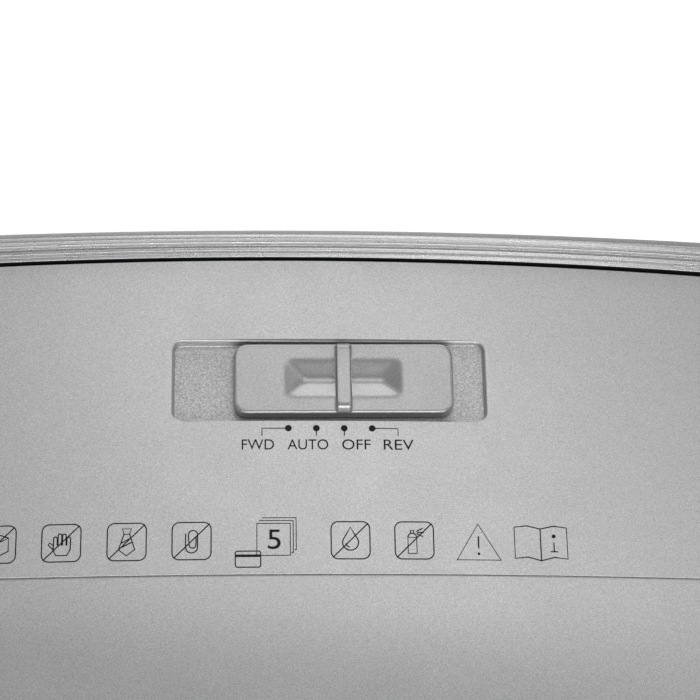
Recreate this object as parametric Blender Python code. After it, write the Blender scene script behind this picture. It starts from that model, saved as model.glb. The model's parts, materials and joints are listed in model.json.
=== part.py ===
"""Desk-side cross-cut paper shredder: a silver shredding head that lifts off a waste bin.

Metres, +Z up. The origin is on the floor, under the middle of the object. The front faces -Y.
"""

import math

import bmesh
import bpy
from mathutils import Matrix, Vector

# Head
HEAD_WIDTH = 0.320
HEAD_DEPTH = 0.170
HEAD_CORNER = 0.028
HEAD_EDGE = 0.008
WALL = 0.0025
REVEAL = 0.002
HOUSING_HEIGHT = 0.036

# Bin
BIN_HEIGHT = 0.250
BIN_WIDTH = 0.300
BIN_DEPTH = 0.150
BIN_TAPER = 0.012
BIN_CORNER = 0.024
BIN_WALL = 0.0022
BIN_FLANGE = 0.003
FOOT_HEIGHT = 0.006
FOOT_RADIUS = 0.009
FOOT_INSET_X = 0.026
FOOT_INSET_Y = 0.022
RIM_DEPTH = 0.008

# Clearances
GAP = 0.0003
SEAM = 0.0005
SLIDE_GAP = 0.0005

# Control panel, measured along its slope from its rear edge
PANEL_SLOPE = math.radians(12)
PANEL_LENGTH = 0.0639
PANEL_WIDTH = 0.276
PANEL_THICKNESS = 0.0025
LIP_Y = 0.0315
LIP_RISE = 0.1046
REAR_ARCH = 0.92
FRONT_ARCH = 1.20
EDGE_BOW = 4.00
SHADOW_GAP = 0.0006

# Paper guide and throat
GUIDE_HEIGHT = 0.0044
GUIDE_SKIRT = 0.010
CREST_RADIUS = 0.0013
CREST_LENGTH = 0.0011
GUIDE_OUT = 0.00365
LEDGE_DEPTH = 0.00055
RIB_RISE = 0.0014
RIB_SLOPE = 0.00028
RIB_TREADS = (0.00085, 0.00022)
SLOT_LENGTH = 0.226
SLOT_WIDTH = 0.0055
SLOT_FRONT_Y = 0.0360
THROAT_WALL = 0.0018
THROAT_BOTTOM_RISE = 0.062
REAR_EDGE_DROP = 0.0120
THROAT_END_DEPTH = 0.021
NOSE_RISE = 0.016
NOSE_PULL = 0.030
ARCH_FADE = 0.042
CREST_FRONT = 0.0031
REAR_SKIRT = 0.006

# Slide switch
PITCH = 0.0053
STEPS_LEFT = 2
STEPS_RIGHT = 1
KNOB_X = 0.0137
KNOB_LENGTH = 0.0420
KNOB_DEPTH = 0.0142
KNOB_HEIGHT = 0.0031
KNOB_CORNER = 0.0026
KNOB_BACK = 0.0179
KNOB_EDGE = 0.0005
KNOB_SIDE_GAP = 0.0008
RECESS_DEPTH = 0.0023
RECESS_CORNER = 0.0016
RIDGE_WIDTH = 0.0026
RIDGE_HEIGHT = 0.0014
DISH_LENGTH = 0.0225
DISH_WIDTH = 0.0077
DISH_DEPTH = 0.0013
STEM_LENGTH = 0.008
STEM_WIDTH = 0.004
STEM_DROP = 0.0012
BOSS_WALL = 0.0020
SWITCH_DEPTH = 0.014
SWITCH_CHANNEL = 0.006
SWITCH_WIDTH = 0.010

# Cutting block
CUTTER_RADIUS = 0.014
CUTTER_CORE = 0.007
CUTTER_OVERLAP = 0.003
CUTTER_RISE = 0.042
JOURNAL_RADIUS = 0.005
BLADE_PITCH = 0.0186
BLADE_CLEARANCE = 0.0005
FRONT_BLADES = 12
PLATE_THICKNESS = 0.003
PLATE_X = SLOT_LENGTH / 2 + 0.005
BUSH_WALL = 0.003
ROD_RADIUS = 0.003
COMB_THICKNESS = 0.007
COMB_TIP_GAP = 0.0012
COMB_ROOT_GAP = 0.0015
COMB_BACK = 0.0035

# Paper sensor
SENSOR_BACK = 0.004
SENSOR_RISE = 0.009
SENSOR_EAR_X = 0.0055
SENSOR_EAR_THICKNESS = 0.0020
SENSOR_PIN_RADIUS = 0.0009
SENSOR_BORE_RADIUS = 0.0013
SENSOR_HUB_RADIUS = 0.0022
SENSOR_HUB_LENGTH = 0.0076
SENSOR_ARM_WIDTH = 0.0030
SENSOR_ARM_THICKNESS = 0.0024
SENSOR_REACH = 0.0014

# Gear train
SYNC_TEETH = 14
DRIVE_MODULE = 0.0015
DRIVE_TEETH = 32
SMALL_TEETH = 12
FIRST_MODULE = 0.0010
FIRST_TEETH = 54
GEAR_FACE = 0.008
GEAR_SPACE = 0.0015
TRAIN_ANGLE = math.radians(4)
AXLE_RADIUS = 0.003
MOTOR_RADIUS = 0.0225
MOTOR_LENGTH = 0.082
MOTOR_SHAFT = 0.0022
BACKLASH = 0.00024
COVER_WALL = 0.0018
COVER_SPACE = 0.0010

# Electrics, gland and screws
CUTOUT_SIZE = (0.014, 0.008, 0.0040)
BOARD_SIZE = (0.070, 0.050, 0.0016)
BOARD_PLACE = (-0.060, -0.036)
BOARD_RISE = 0.0040
CAPACITOR_RADIUS = 0.0090
CAPACITOR_SPAN = (-0.080, -0.045)
INTERLOCK_SIZE = (0.0065, 0.020, 0.0140)
INTERLOCK_PLACE = (0.014, -0.020)
GLAND_X = -0.105
GLAND_RISE = 0.018
GLAND_RADIUS = 0.0065
GLAND_BORE = 0.0035
SCREW_INSET = 0.014
SCREW_LENGTH = 0.0160
SCREW_SHANK = 0.0019
SCREW_HEAD = 0.0036
SCREW_HEAD_HEIGHT = 0.0022
SCREW_HOLE = 0.0024
PILLAR_RADIUS = 0.0062
PILLAR_HEIGHT = 0.0060
COUNTERBORE_RISE = 0.0035
BOSS_RADIUS = 0.0048

# Places worked out from the sizes above
SPLIT_Z = BIN_HEIGHT + HOUSING_HEIGHT
LIP_Z = BIN_HEIGHT + LIP_RISE
SEAM_Y = LIP_Y - PANEL_LENGTH * math.cos(PANEL_SLOPE)
SEAM_Z = LIP_Z - PANEL_LENGTH * math.sin(PANEL_SLOPE)
SLOT_BACK_Y = SLOT_FRONT_Y + SLOT_WIDTH
WINDOW_BACK_Y = SLOT_BACK_Y + THROAT_WALL + GAP
REAR_EDGE_Z = LIP_Z + GUIDE_HEIGHT - REAR_EDGE_DROP
SLOT_Y = (SLOT_FRONT_Y + SLOT_BACK_Y) / 2
CUTTER_SPACING = 2 * CUTTER_RADIUS - CUTTER_OVERLAP
FRONT_CUTTER = (SLOT_Y - CUTTER_SPACING / 2, BIN_HEIGHT + CUTTER_RISE)
REAR_CUTTER = (SLOT_Y + CUTTER_SPACING / 2, BIN_HEIGHT + CUTTER_RISE)
THROAT_BOTTOM = BIN_HEIGHT + THROAT_BOTTOM_RISE
FLOOR_Z = BIN_HEIGHT + GAP + WALL
DRIVE_SPACING = DRIVE_MODULE * (DRIVE_TEETH + SMALL_TEETH) / 2
FIRST_SPACING = FIRST_MODULE * (FIRST_TEETH + SMALL_TEETH) / 2
CLUSTER = (
    FRONT_CUTTER[0] - DRIVE_SPACING * math.cos(TRAIN_ANGLE),
    FRONT_CUTTER[1] - DRIVE_SPACING * math.sin(TRAIN_ANGLE),
)
MOTOR = (CLUSTER[0] - FIRST_SPACING, CLUSTER[1])
DRIVE_X = PLATE_X + PLATE_THICKNESS + GEAR_SPACE
FIRST_X = DRIVE_X + GEAR_FACE + GEAR_SPACE
TRAIN_END_X = FIRST_X + GEAR_FACE
SENSOR_AXIS = (WINDOW_BACK_Y + SENSOR_BACK, THROAT_BOTTOM + SENSOR_RISE)
GLAND = (GLAND_X, BIN_HEIGHT + GLAND_RISE)
QUARTERS = (("front_left", -1, -1), ("front_right", 1, -1), ("rear_left", -1, 1), ("rear_right", 1, 1))

SILVER = ("silver_paint", (0.56, 0.56, 0.57), 0.42, 0.75)
DARK = ("charcoal_plastic", (0.035, 0.036, 0.038), 0.55, 0.0)
BLACK = ("black_plastic", (0.012, 0.012, 0.013), 0.5, 0.0)
STEEL = ("blade_steel", (0.42, 0.42, 0.43), 0.32, 1.0)
ZINC = ("zinc_plate", (0.55, 0.55, 0.52), 0.38, 1.0)
BRONZE = ("sintered_bronze", (0.40, 0.27, 0.13), 0.45, 1.0)
NYLON = ("white_nylon", (0.72, 0.70, 0.64), 0.45, 0.0)
RUBBER = ("rubber", (0.02, 0.02, 0.02), 0.85, 0.0)
BOARD = ("circuit_board", (0.03, 0.16, 0.07), 0.5, 0.0)


def clear_scene():
    for obj in list(bpy.data.objects):
        bpy.data.objects.remove(obj, do_unlink=True)


def material(finish):
    name, colour, roughness, metallic = finish
    made = bpy.data.materials.get(name)
    if made is None:
        made = bpy.data.materials.new(name)
        made.use_nodes = True
        shader = made.node_tree.nodes["Principled BSDF"]
        shader.inputs["Base Color"].default_value = (*colour, 1.0)
        shader.inputs["Roughness"].default_value = roughness
        shader.inputs["Metallic"].default_value = metallic
    return made


def add_object(name, bm, finish, origin=(0, 0, 0)):
    """A mesh object whose origin is at the given point, its mesh given in world coordinates."""
    bmesh.ops.recalc_face_normals(bm, faces=bm.faces)
    bm.transform(Matrix.Translation(-Vector(origin)))
    mesh = bpy.data.meshes.new(name)
    bm.to_mesh(mesh)
    bm.free()
    obj = bpy.data.objects.new(name, mesh)
    obj.location = origin
    bpy.context.scene.collection.objects.link(obj)
    if finish:
        mesh.materials.append(material(finish))
    mesh.shade_smooth()
    mesh.set_sharp_from_angle(angle=math.radians(35))
    return obj


def cutter(name, bm):
    obj = add_object(name, bm, None)
    obj.hide_render = True
    obj.display_type = "WIRE"
    return obj


def boolean(obj, other, operation):
    modifier = obj.modifiers.new(other.name, "BOOLEAN")
    modifier.operation = operation
    modifier.object = other
    modifier.solver = "EXACT"


def loft(rings):
    """A closed body through rings of points, capped at both ends."""
    bm = bmesh.new()
    loops = [[bm.verts.new(point) for point in ring] for ring in rings]
    for first, second in zip(loops, loops[1:]):
        for i in range(len(first)):
            j = (i + 1) % len(first)
            bm.faces.new((first[i], first[j], second[j], second[i]))
    bm.faces.new(loops[0][::-1])
    bm.faces.new(loops[-1])
    return bm


def box(low, high):
    corners = [(low[0], low[1]), (high[0], low[1]), (high[0], high[1]), (low[0], high[1])]
    return loft([[(x, y, z) for x, y in corners] for z in (low[2], high[2])])


def box_about(centre, size):
    low = [c - s / 2 for c, s in zip(centre, size)]
    high = [c + s / 2 for c, s in zip(centre, size)]
    return box(low, high)


def rounded_outline(width, depth, corner, steps=5):
    """Corners of a rounded rectangle about the origin, anticlockwise."""
    points = []
    for turn, (sx, sy) in enumerate(((1, 1), (-1, 1), (-1, -1), (1, -1))):
        cx = sx * (width / 2 - corner)
        cy = sy * (depth / 2 - corner)
        for step in range(steps + 1):
            angle = math.pi / 2 * (turn + step / steps)
            points.append((cx + corner * math.cos(angle), cy + corner * math.sin(angle)))
    return points


def ring_shell(levels, steps=5):
    """A body through rounded rectangles, each (width, depth, corner, z), in order along the wall."""
    return loft([
        [(x, y, z) for x, y in rounded_outline(width, depth, corner, steps)]
        for width, depth, corner, z in levels
    ])


def circle(radius, sides, phase=0.0):
    return [
        (radius * math.cos(phase + math.tau * i / sides), radius * math.sin(phase + math.tau * i / sides))
        for i in range(sides)
    ]


def along_x(centre, stations, sides=20):
    """A turned body on an X axis through centre, from (x, radius) stations."""
    return loft([
        [(x, centre[0] + y, centre[1] + z) for y, z in circle(radius, sides)]
        for x, radius in stations
    ])


def along_y(centre, y0, y1, radius, sides=16):
    """A rod on a Y axis through (x, z)."""
    return loft([
        [(centre[0] + a, y, centre[1] + b) for a, b in circle(radius, sides)] for y in (y0, y1)
    ])


def along_z(centre, z0, z1, radius, sides=16):
    return loft([
        [(centre[0] + a, centre[1] + b, z) for a, b in circle(radius, sides)] for z in (z0, z1)
    ])


def join_loops(bm, loops):
    """Faces between each loop and the next, and between the last and the first."""
    for first, second in zip(loops, loops[1:] + loops[:1]):
        for i in range(len(first)):
            j = (i + 1) % len(first)
            bm.faces.new((first[i], first[j], second[j], second[i]))


def tube_along_x(centre, x0, x1, inner, outer, sides=20):
    """A ring on an X axis, open right through."""
    bm = bmesh.new()
    loops = []
    for x, radius in ((x0, outer), (x1, outer), (x1, inner), (x0, inner)):
        loops.append([bm.verts.new((x, centre[0] + y, centre[1] + z)) for y, z in circle(radius, sides)])
    join_loops(bm, loops)
    return bm


def rod_along_x(centre, x0, x1, radius, sides=20):
    return along_x(centre, [(x0, radius), (x1, radius)], sides)


def extrude_x(outline, x0, x1):
    return loft([[(x, y, z) for y, z in outline] for x in (x0, x1)])


def panel_frame():
    """Local X along the panel, Y up its slope from the rear edge, Z out of it."""
    return Matrix.Translation((0, LIP_Y, LIP_Z)) @ Matrix.Rotation(PANEL_SLOPE, 4, "X")


def on_panel(bm):
    bm.transform(panel_frame())
    return bm


def in_section(along, out):
    """World (y, z) of a point given along the panel's slope and out of it, at the middle of the head."""
    y = LIP_Y + along * math.cos(PANEL_SLOPE) - out * math.sin(PANEL_SLOPE)
    z = LIP_Z + along * math.sin(PANEL_SLOPE) + out * math.cos(PANEL_SLOPE)
    return y, z


def arch_drop(x, y):
    """How far the arched top has fallen at x from its height at the middle."""
    share = min(max((LIP_Y - y) / (LIP_Y - SEAM_Y), 0.0), 1.0)
    curvature = (1 - share) / REAR_ARCH + share / FRONT_ARCH
    return curvature * x * x / 2


def bow(x):
    """How far forward the panel's rear edge curves at x."""
    return x * x / 2 / EDGE_BOW


def panel_height(x, y):
    return LIP_Z + (y - LIP_Y) * math.tan(PANEL_SLOPE) - arch_drop(x, y)


def spread(half, count):
    return [-half + 2 * half * i / count for i in range(count + 1)]


def bezier(a, b, c, d, steps):
    """Points on a cubic curve, without its two ends."""
    points = []
    for step in range(1, steps):
        t = step / steps
        s = 1 - t
        points.append(tuple(
            s ** 3 * a[i] + 3 * s * s * t * b[i] + 3 * s * t * t * c[i] + t ** 3 * d[i] for i in range(2)
        ))
    return points


def inset_polygon(points, distance):
    """A clockwise polygon moved inwards, each side by the same distance."""
    moved = []
    for i, here in enumerate(points):
        before = Vector(points[i - 1])
        after = Vector(points[(i + 1) % len(points)])
        here = Vector(here)
        first = (here - before).normalized()
        second = (after - here).normalized()
        normal_a = Vector((first.y, -first.x))
        normal_b = Vector((second.y, -second.x))
        middle = (normal_a + normal_b).normalized()
        moved.append(tuple(here + middle * (distance / max(middle.dot(normal_a), 0.5))))
    return moved


def crest_height(x, y, z):
    """Height of a point of the crest, which sinks to the line behind the panel where the paper guide ends."""
    slope = (REAR_EDGE_Z - LIP_Z) / (WINDOW_BACK_Y - LIP_Y)
    line = LIP_Z + (y - LIP_Y) * slope
    if not LIP_Y < y < WINDOW_BACK_Y or z < line:
        return z
    end = HEAD_WIDTH / 2 - HEAD_EDGE
    fade = min(max((end - abs(x)) / (end - PANEL_WIDTH / 2), 0.0), 1.0)
    return line + (z - line) * fade * fade * (3 - 2 * fade)


def cover_profile(with_crest):
    """The head's top in section at its middle, front bottom to rear bottom, as (y, z)."""
    half = HEAD_DEPTH / 2
    seam = (SEAM_Y, SEAM_Z)
    nose_low = (-half, SPLIT_Z + NOSE_RISE)
    nose_high = (-half, SPLIT_Z + HOUSING_HEIGHT)
    nose = bezier(nose_low, nose_high, in_section(-PANEL_LENGTH - NOSE_PULL, 0), seam, 7)
    panel = [in_section(-PANEL_LENGTH * share, 0) for share in (0.66, 0.33, 0.0)]
    crest_front = in_section(CREST_FRONT, GUIDE_HEIGHT - CREST_RADIUS / 2)
    crest_back = (SLOT_FRONT_Y, LIP_Z + GUIDE_HEIGHT - CREST_RADIUS / 2)
    rear_edge = (WINDOW_BACK_Y, REAR_EDGE_Z)
    rear_low = (half - REVEAL, SPLIT_Z + REAR_SKIRT)
    crest = [crest_front, crest_back] if with_crest else []
    return (
        [(-half, SPLIT_Z + GAP), nose_low] + nose + [seam] + panel + crest
        + [rear_edge, rear_low, (half, SPLIT_Z + GAP)]
    )


def head_stations():
    """X places of the head's sections, close together where its ends round off."""
    straight = HEAD_WIDTH / 2 - HEAD_CORNER
    ends = [straight + HEAD_CORNER * math.sin(math.radians(angle)) for angle in (25, 48, 68)]
    ends.append(HEAD_WIDTH / 2 - HEAD_EDGE * 0.12)
    ends.append(HEAD_WIDTH / 2)
    middle = spread(straight, 12)
    return [-x for x in reversed(ends)] + middle + ends


def corner_inset(x):
    over = max(abs(x) - (HEAD_WIDTH / 2 - HEAD_CORNER), 0.0)
    return HEAD_CORNER - math.sqrt(max(HEAD_CORNER ** 2 - over ** 2, 0.0))


def edge_drop(x):
    over = max(abs(x) - (HEAD_WIDTH / 2 - HEAD_EDGE), 0.0)
    return HEAD_EDGE - math.sqrt(max(HEAD_EDGE ** 2 - over ** 2, 0.0))


def cover_section(profile, x, at_x, floor):
    """One section of the head's top, its arch fading out towards the bottom edge."""
    points = []
    for y, middle_z in profile:
        z = crest_height(x, y, middle_z)
        share = min(max((z - SPLIT_Z) / ARCH_FADE, 0.0), 1.0)
        share = share * share * (3 - 2 * share)
        drop = (arch_drop(x, y) + edge_drop(x)) * share
        shift = bow(x) if LIP_Y <= y < SLOT_FRONT_Y else 0.0
        depth_share = 1 - corner_inset(x) / (HEAD_DEPTH / 2)
        height = z - drop if z > floor else floor
        points.append((at_x, (y - shift) * depth_share, height))
    return points


def make_top_cover():
    outer = cover_profile(True)
    cover = add_object(
        "top_cover",
        loft([cover_section(outer, x, x, SPLIT_Z + GAP) for x in head_stations()]),
        SILVER,
    )
    inner = inset_polygon(cover_profile(False), WALL)
    inner[0] = (inner[0][0], SPLIT_Z - WALL)
    inner[-1] = (inner[-1][0], SPLIT_Z - WALL)
    squeeze = 1 - WALL / (HEAD_WIDTH / 2)
    hollow = cutter(
        "cover_hollow",
        loft([cover_section(inner, x, x * squeeze, SPLIT_Z - WALL) for x in head_stations()]),
    )
    boss_low = FLOOR_Z + PILLAR_HEIGHT + GAP
    for name, x, y in screw_places():
        post = cutter(f"boss_post_{name}", along_z((x, y), SPLIT_Z - 2 * WALL, LIP_Z, BOSS_RADIUS))
        boolean(hollow, post, "DIFFERENCE")
    boolean(cover, hollow, "DIFFERENCE")
    for name, x, y in screw_places():
        boss = cutter(f"cover_boss_{name}", along_z((x, y), boss_low, SPLIT_Z + WALL, BOSS_RADIUS))
        boolean(cover, boss, "UNION")
        bore = cutter(f"boss_bore_{name}", along_z(
            (x, y), boss_low - WALL, FLOOR_Z + SCREW_LENGTH + GAP, SCREW_SHANK + GAP, 12))
        boolean(cover, bore, "DIFFERENCE")
    half = PANEL_WIDTH / 2 + SEAM / 2
    window = cutter("cover_window", box(
        (-half, SEAM_Y - SEAM / 2, SPLIT_Z + 0.020),
        (half, WINDOW_BACK_Y, LIP_Z + 0.030),
    ))
    boolean(cover, window, "DIFFERENCE")


def panel_section(x):
    """One section of the control panel: top from front to rear, then the underside back."""
    front = SEAM_Y + SEAM / 2
    rear = LIP_Y - bow(x)
    places = [front + (rear - front) * share for share in (0, 0.25, 0.5, 0.75, 1)]
    top = [(x, y, panel_height(x, y)) for y in places]
    under = [(x, y, z - PANEL_THICKNESS) for x, y, z in reversed(top)]
    return top + under


def knob_mid_along():
    return -(KNOB_BACK + KNOB_DEPTH / 2)


def recess_span():
    """Lowest and highest X of the recess, from the knob's travel."""
    low = KNOB_X - KNOB_LENGTH / 2 - STEPS_LEFT * PITCH - KNOB_SIDE_GAP
    high = KNOB_X + KNOB_LENGTH / 2 + STEPS_RIGHT * PITCH + KNOB_SIDE_GAP
    return low, high


def stem_span():
    low = KNOB_X - STEM_LENGTH / 2 - STEPS_LEFT * PITCH - SLIDE_GAP
    high = KNOB_X + STEM_LENGTH / 2 + STEPS_RIGHT * PITCH + SLIDE_GAP
    return low, high


def panel_prism(x0, x1, along0, along1, out0, out1, corner):
    """A rounded block square to the panel."""
    outline = rounded_outline(x1 - x0, along1 - along0, corner, 4)
    mid_x = (x0 + x1) / 2
    mid_along = (along0 + along1) / 2
    return on_panel(loft([
        [(mid_x + x, mid_along + y, z) for x, y in outline] for z in (out0, out1)
    ]))


def recess_floor_out():
    return -RECESS_DEPTH


def boss_bottom_out():
    return recess_floor_out() - BOSS_WALL


def make_control_panel():
    panel = add_object("control_panel", loft([panel_section(x) for x in spread(PANEL_WIDTH / 2, 16)]), SILVER)
    low, high = recess_span()
    half = KNOB_DEPTH / 2 + KNOB_SIDE_GAP
    mid = knob_mid_along()
    boss = cutter("recess_boss", panel_prism(
        low - 0.002, high + 0.002, mid - half - 0.002, mid + half + 0.002,
        boss_bottom_out(), -0.0016, RECESS_CORNER + 0.002,
    ))
    boolean(panel, boss, "UNION")
    pocket = cutter("recess_pocket", panel_prism(
        low, high, mid - half, mid + half, recess_floor_out(), 0.006, RECESS_CORNER,
    ))
    boolean(panel, pocket, "DIFFERENCE")
    stem_low, stem_high = stem_span()
    slot_half = STEM_WIDTH / 2 + SLIDE_GAP
    stem_slot = cutter("stem_slot", panel_prism(
        stem_low, stem_high, mid - slot_half, mid + slot_half, -0.008, 0.002, 0.0008,
    ))
    boolean(panel, stem_slot, "DIFFERENCE")


def guide_profile():
    """A small ledge, two ribs and the crest, as (along, out), front to back."""
    ledge = SHADOW_GAP + LEDGE_DEPTH
    steps = [(SHADOW_GAP, RIB_RISE / 8), (ledge, RIB_RISE / 4)]
    along = ledge
    for rib, tread in enumerate(RIB_TREADS):
        out = RIB_RISE * (rib + 1)
        steps += [(along + RIB_SLOPE, out - RIB_RISE / 8), (along + RIB_SLOPE + tread, out)]
        along += RIB_SLOPE + tread
    steps.append((along + RIB_SLOPE / 2, GUIDE_OUT - RIB_RISE / 8))
    crest = (along + CREST_LENGTH, GUIDE_OUT - CREST_RADIUS)
    for angle in (80, 45, 10):
        turn = math.radians(angle)
        steps.append((crest[0] + CREST_RADIUS * math.cos(turn), crest[1] + CREST_RADIUS * math.sin(turn)))
    return steps


def guide_section(x):
    drop = arch_drop(x, LIP_Y)
    steps = [in_section(along, out) for along, out in guide_profile()]
    points = []
    for y, z in steps:
        hold = min(max((y - LIP_Y) / (SLOT_FRONT_Y - LIP_Y), 0.0), 1.0)
        points.append((x, min(y - bow(x) * (1 - hold), SLOT_FRONT_Y), z - drop))
    bottom = LIP_Z - GUIDE_SKIRT - drop
    foot_y = points[0][1]
    points[-1] = (x, SLOT_FRONT_Y, points[-1][2])
    points.append((x, SLOT_FRONT_Y, bottom))
    points.append((x, foot_y, bottom))
    return points


def make_paper_guide():
    add_object("paper_guide", loft([guide_section(x) for x in spread(PANEL_WIDTH / 2, 16)]), SILVER)


def make_paper_throat():
    half = SLOT_LENGTH / 2 + THROAT_WALL
    front = SLOT_FRONT_Y - THROAT_WALL
    back = SLOT_BACK_Y + THROAT_WALL
    rings = []
    for x in spread(half, 12):
        top = REAR_EDGE_Z - arch_drop(x, LIP_Y) - GAP
        rings.append([(x, front, THROAT_BOTTOM), (x, back, THROAT_BOTTOM), (x, back, top), (x, front, top)])
    throat = add_object("paper_throat", loft(rings), BLACK)
    for side in (-1, 1):
        rings = []
        for share in (0.0, 0.5, 1.0):
            x = side * (half - 0.001 + share * (PANEL_WIDTH / 2 - half + 0.001))
            top = REAR_EDGE_Z - arch_drop(x, LIP_Y) - GAP
            low = REAR_EDGE_Z - THROAT_END_DEPTH
            rings.append([(x, front, low), (x, back, low), (x, back, top), (x, front, top)])
        boolean(throat, cutter(f"throat_end_{side}", loft(rings)), "UNION")
    slot = cutter("throat_slot", box(
        (-SLOT_LENGTH / 2, SLOT_FRONT_Y, THROAT_BOTTOM - 0.01),
        (SLOT_LENGTH / 2, SLOT_BACK_Y, LIP_Z + 0.02),
    ))
    rings = []
    for x in spread(PANEL_WIDTH / 2 + 0.002, 16):
        low = LIP_Z - GUIDE_SKIRT - arch_drop(x, LIP_Y) - GAP
        high = LIP_Z + 0.02
        near = front - 0.002
        far = SLOT_FRONT_Y + GAP
        rings.append([(x, near, low), (x, far, low), (x, far, high), (x, near, high)])
    notch = cutter("throat_notch", loft(rings))
    for side in (-1, 1):
        ear = cutter(f"sensor_ear_{side}", box_about(
            (side * SENSOR_EAR_X, (back - 0.001 + SENSOR_AXIS[0] + 0.0025) / 2, SENSOR_AXIS[1]),
            (SENSOR_EAR_THICKNESS, SENSOR_AXIS[0] + 0.0035 - back, 0.0050),
        ))
        boolean(throat, ear, "UNION")
    boolean(throat, slot, "DIFFERENCE")
    boolean(throat, notch, "DIFFERENCE")
    window = cutter("sensor_window", box(
        (-0.0022, SLOT_BACK_Y - 0.001, THROAT_BOTTOM - 0.002),
        (0.0022, back + 0.001, SENSOR_AXIS[1] + 0.003),
    ))
    boolean(throat, window, "DIFFERENCE")
    pin_hole = cutter("sensor_pin_hole", rod_along_x(SENSOR_AXIS, -0.010, 0.010, SENSOR_BORE_RADIUS, 12))
    boolean(throat, pin_hole, "DIFFERENCE")


def make_paper_sensor():
    half_arm = SENSOR_ARM_WIDTH / 2
    thick = SENSOR_ARM_THICKNESS / 2
    lever = add_object("paper_sensor_lever", box(
        (-half_arm, SLOT_FRONT_Y + SENSOR_REACH, SENSOR_AXIS[1] - thick),
        (half_arm, SENSOR_AXIS[0], SENSOR_AXIS[1] + thick),
    ), NYLON)
    half_hub = SENSOR_HUB_LENGTH / 2
    hub = cutter("sensor_hub", rod_along_x(SENSOR_AXIS, -half_hub, half_hub, SENSOR_HUB_RADIUS, 14))
    boolean(lever, hub, "UNION")
    bore = cutter("sensor_bore", rod_along_x(SENSOR_AXIS, -0.006, 0.006, SENSOR_BORE_RADIUS, 12))
    boolean(lever, bore, "DIFFERENCE")
    half_pin = SENSOR_EAR_X + SENSOR_EAR_THICKNESS
    add_object(
        "sensor_pivot_pin", rod_along_x(SENSOR_AXIS, -half_pin, half_pin, SENSOR_PIN_RADIUS, 10), STEEL)
    add_object("sensor_switch", box(
        (half_pin + 0.0015, SENSOR_AXIS[0] - 0.0025, SENSOR_AXIS[1] - 0.004),
        (half_pin + 0.0135, SENSOR_AXIS[0] + 0.0040, SENSOR_AXIS[1] + 0.004),
    ), BLACK)


def make_slider():
    mid = knob_mid_along()
    half = KNOB_DEPTH / 2
    base = recess_floor_out() + GAP
    top = recess_floor_out() + KNOB_HEIGHT
    loops = []
    for inset, out in ((0.0, base), (0.0, top - KNOB_EDGE), (KNOB_EDGE, top)):
        outline = rounded_outline(KNOB_LENGTH - 2 * inset, KNOB_DEPTH - 2 * inset, KNOB_CORNER - inset)
        loops.append([(KNOB_X + x, mid + y, out) for x, y in outline])
    knob = add_object("slider_knob", on_panel(loft(loops)), SILVER)
    corners = ((-1, -1), (1, -1), (1, 1), (-1, 1))
    dish = cutter("finger_dish", on_panel(loft([
        [(KNOB_X + sx * DISH_LENGTH / 2 * s, mid + sy * DISH_WIDTH / 2 * s, out) for sx, sy in corners]
        for s, out in ((1.25, top + 0.0004), (1.0, top - 0.0001), (0.62, top - DISH_DEPTH))
    ])))
    boolean(knob, dish, "DIFFERENCE")
    ridge_top = top + RIDGE_HEIGHT
    side = RIDGE_WIDTH / 2
    end = half - 0.0001
    rising = [
        (end, base + 0.0002), (end, top + 0.0003), (end - 0.0009, ridge_top - 0.0002),
        (end - 0.0021, ridge_top),
    ]
    outline = [(-along, out) for along, out in rising] + rising[::-1]
    ridge = cutter("knob_ridge", on_panel(loft([
        [(KNOB_X + x, mid + y, z) for y, z in outline] for x in (-side, side)
    ])))
    boolean(knob, ridge, "UNION")
    stem = cutter("knob_stem", panel_prism(
        KNOB_X - STEM_LENGTH / 2, KNOB_X + STEM_LENGTH / 2, mid - STEM_WIDTH / 2, mid + STEM_WIDTH / 2,
        boss_bottom_out() - STEM_DROP, base + 0.0010, 0.0004,
    ))
    boolean(knob, stem, "UNION")


def make_switch():
    mid = knob_mid_along()
    low, high = stem_span()
    top = boss_bottom_out() - GAP
    floor = top - SWITCH_CHANNEL
    body = add_object("slide_switch_body", panel_prism(
        low - 0.002, high + 0.002, mid - SWITCH_WIDTH / 2, mid + SWITCH_WIDTH / 2,
        top - SWITCH_DEPTH, top, 0.0008,
    ), BLACK)
    half_channel = STEM_WIDTH / 2 + SLIDE_GAP
    channel = cutter("switch_channel", panel_prism(
        low - GAP, high + GAP, mid - half_channel, mid + half_channel, floor, top + 0.002, 0.0004,
    ))
    boolean(body, channel, "DIFFERENCE")
    add_object("switch_actuator", panel_prism(
        KNOB_X - STEM_LENGTH / 2, KNOB_X + STEM_LENGTH / 2, mid - STEM_WIDTH / 2, mid + STEM_WIDTH / 2,
        floor + GAP, boss_bottom_out() - STEM_DROP - GAP, 0.0004,
    ), NYLON)


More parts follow.
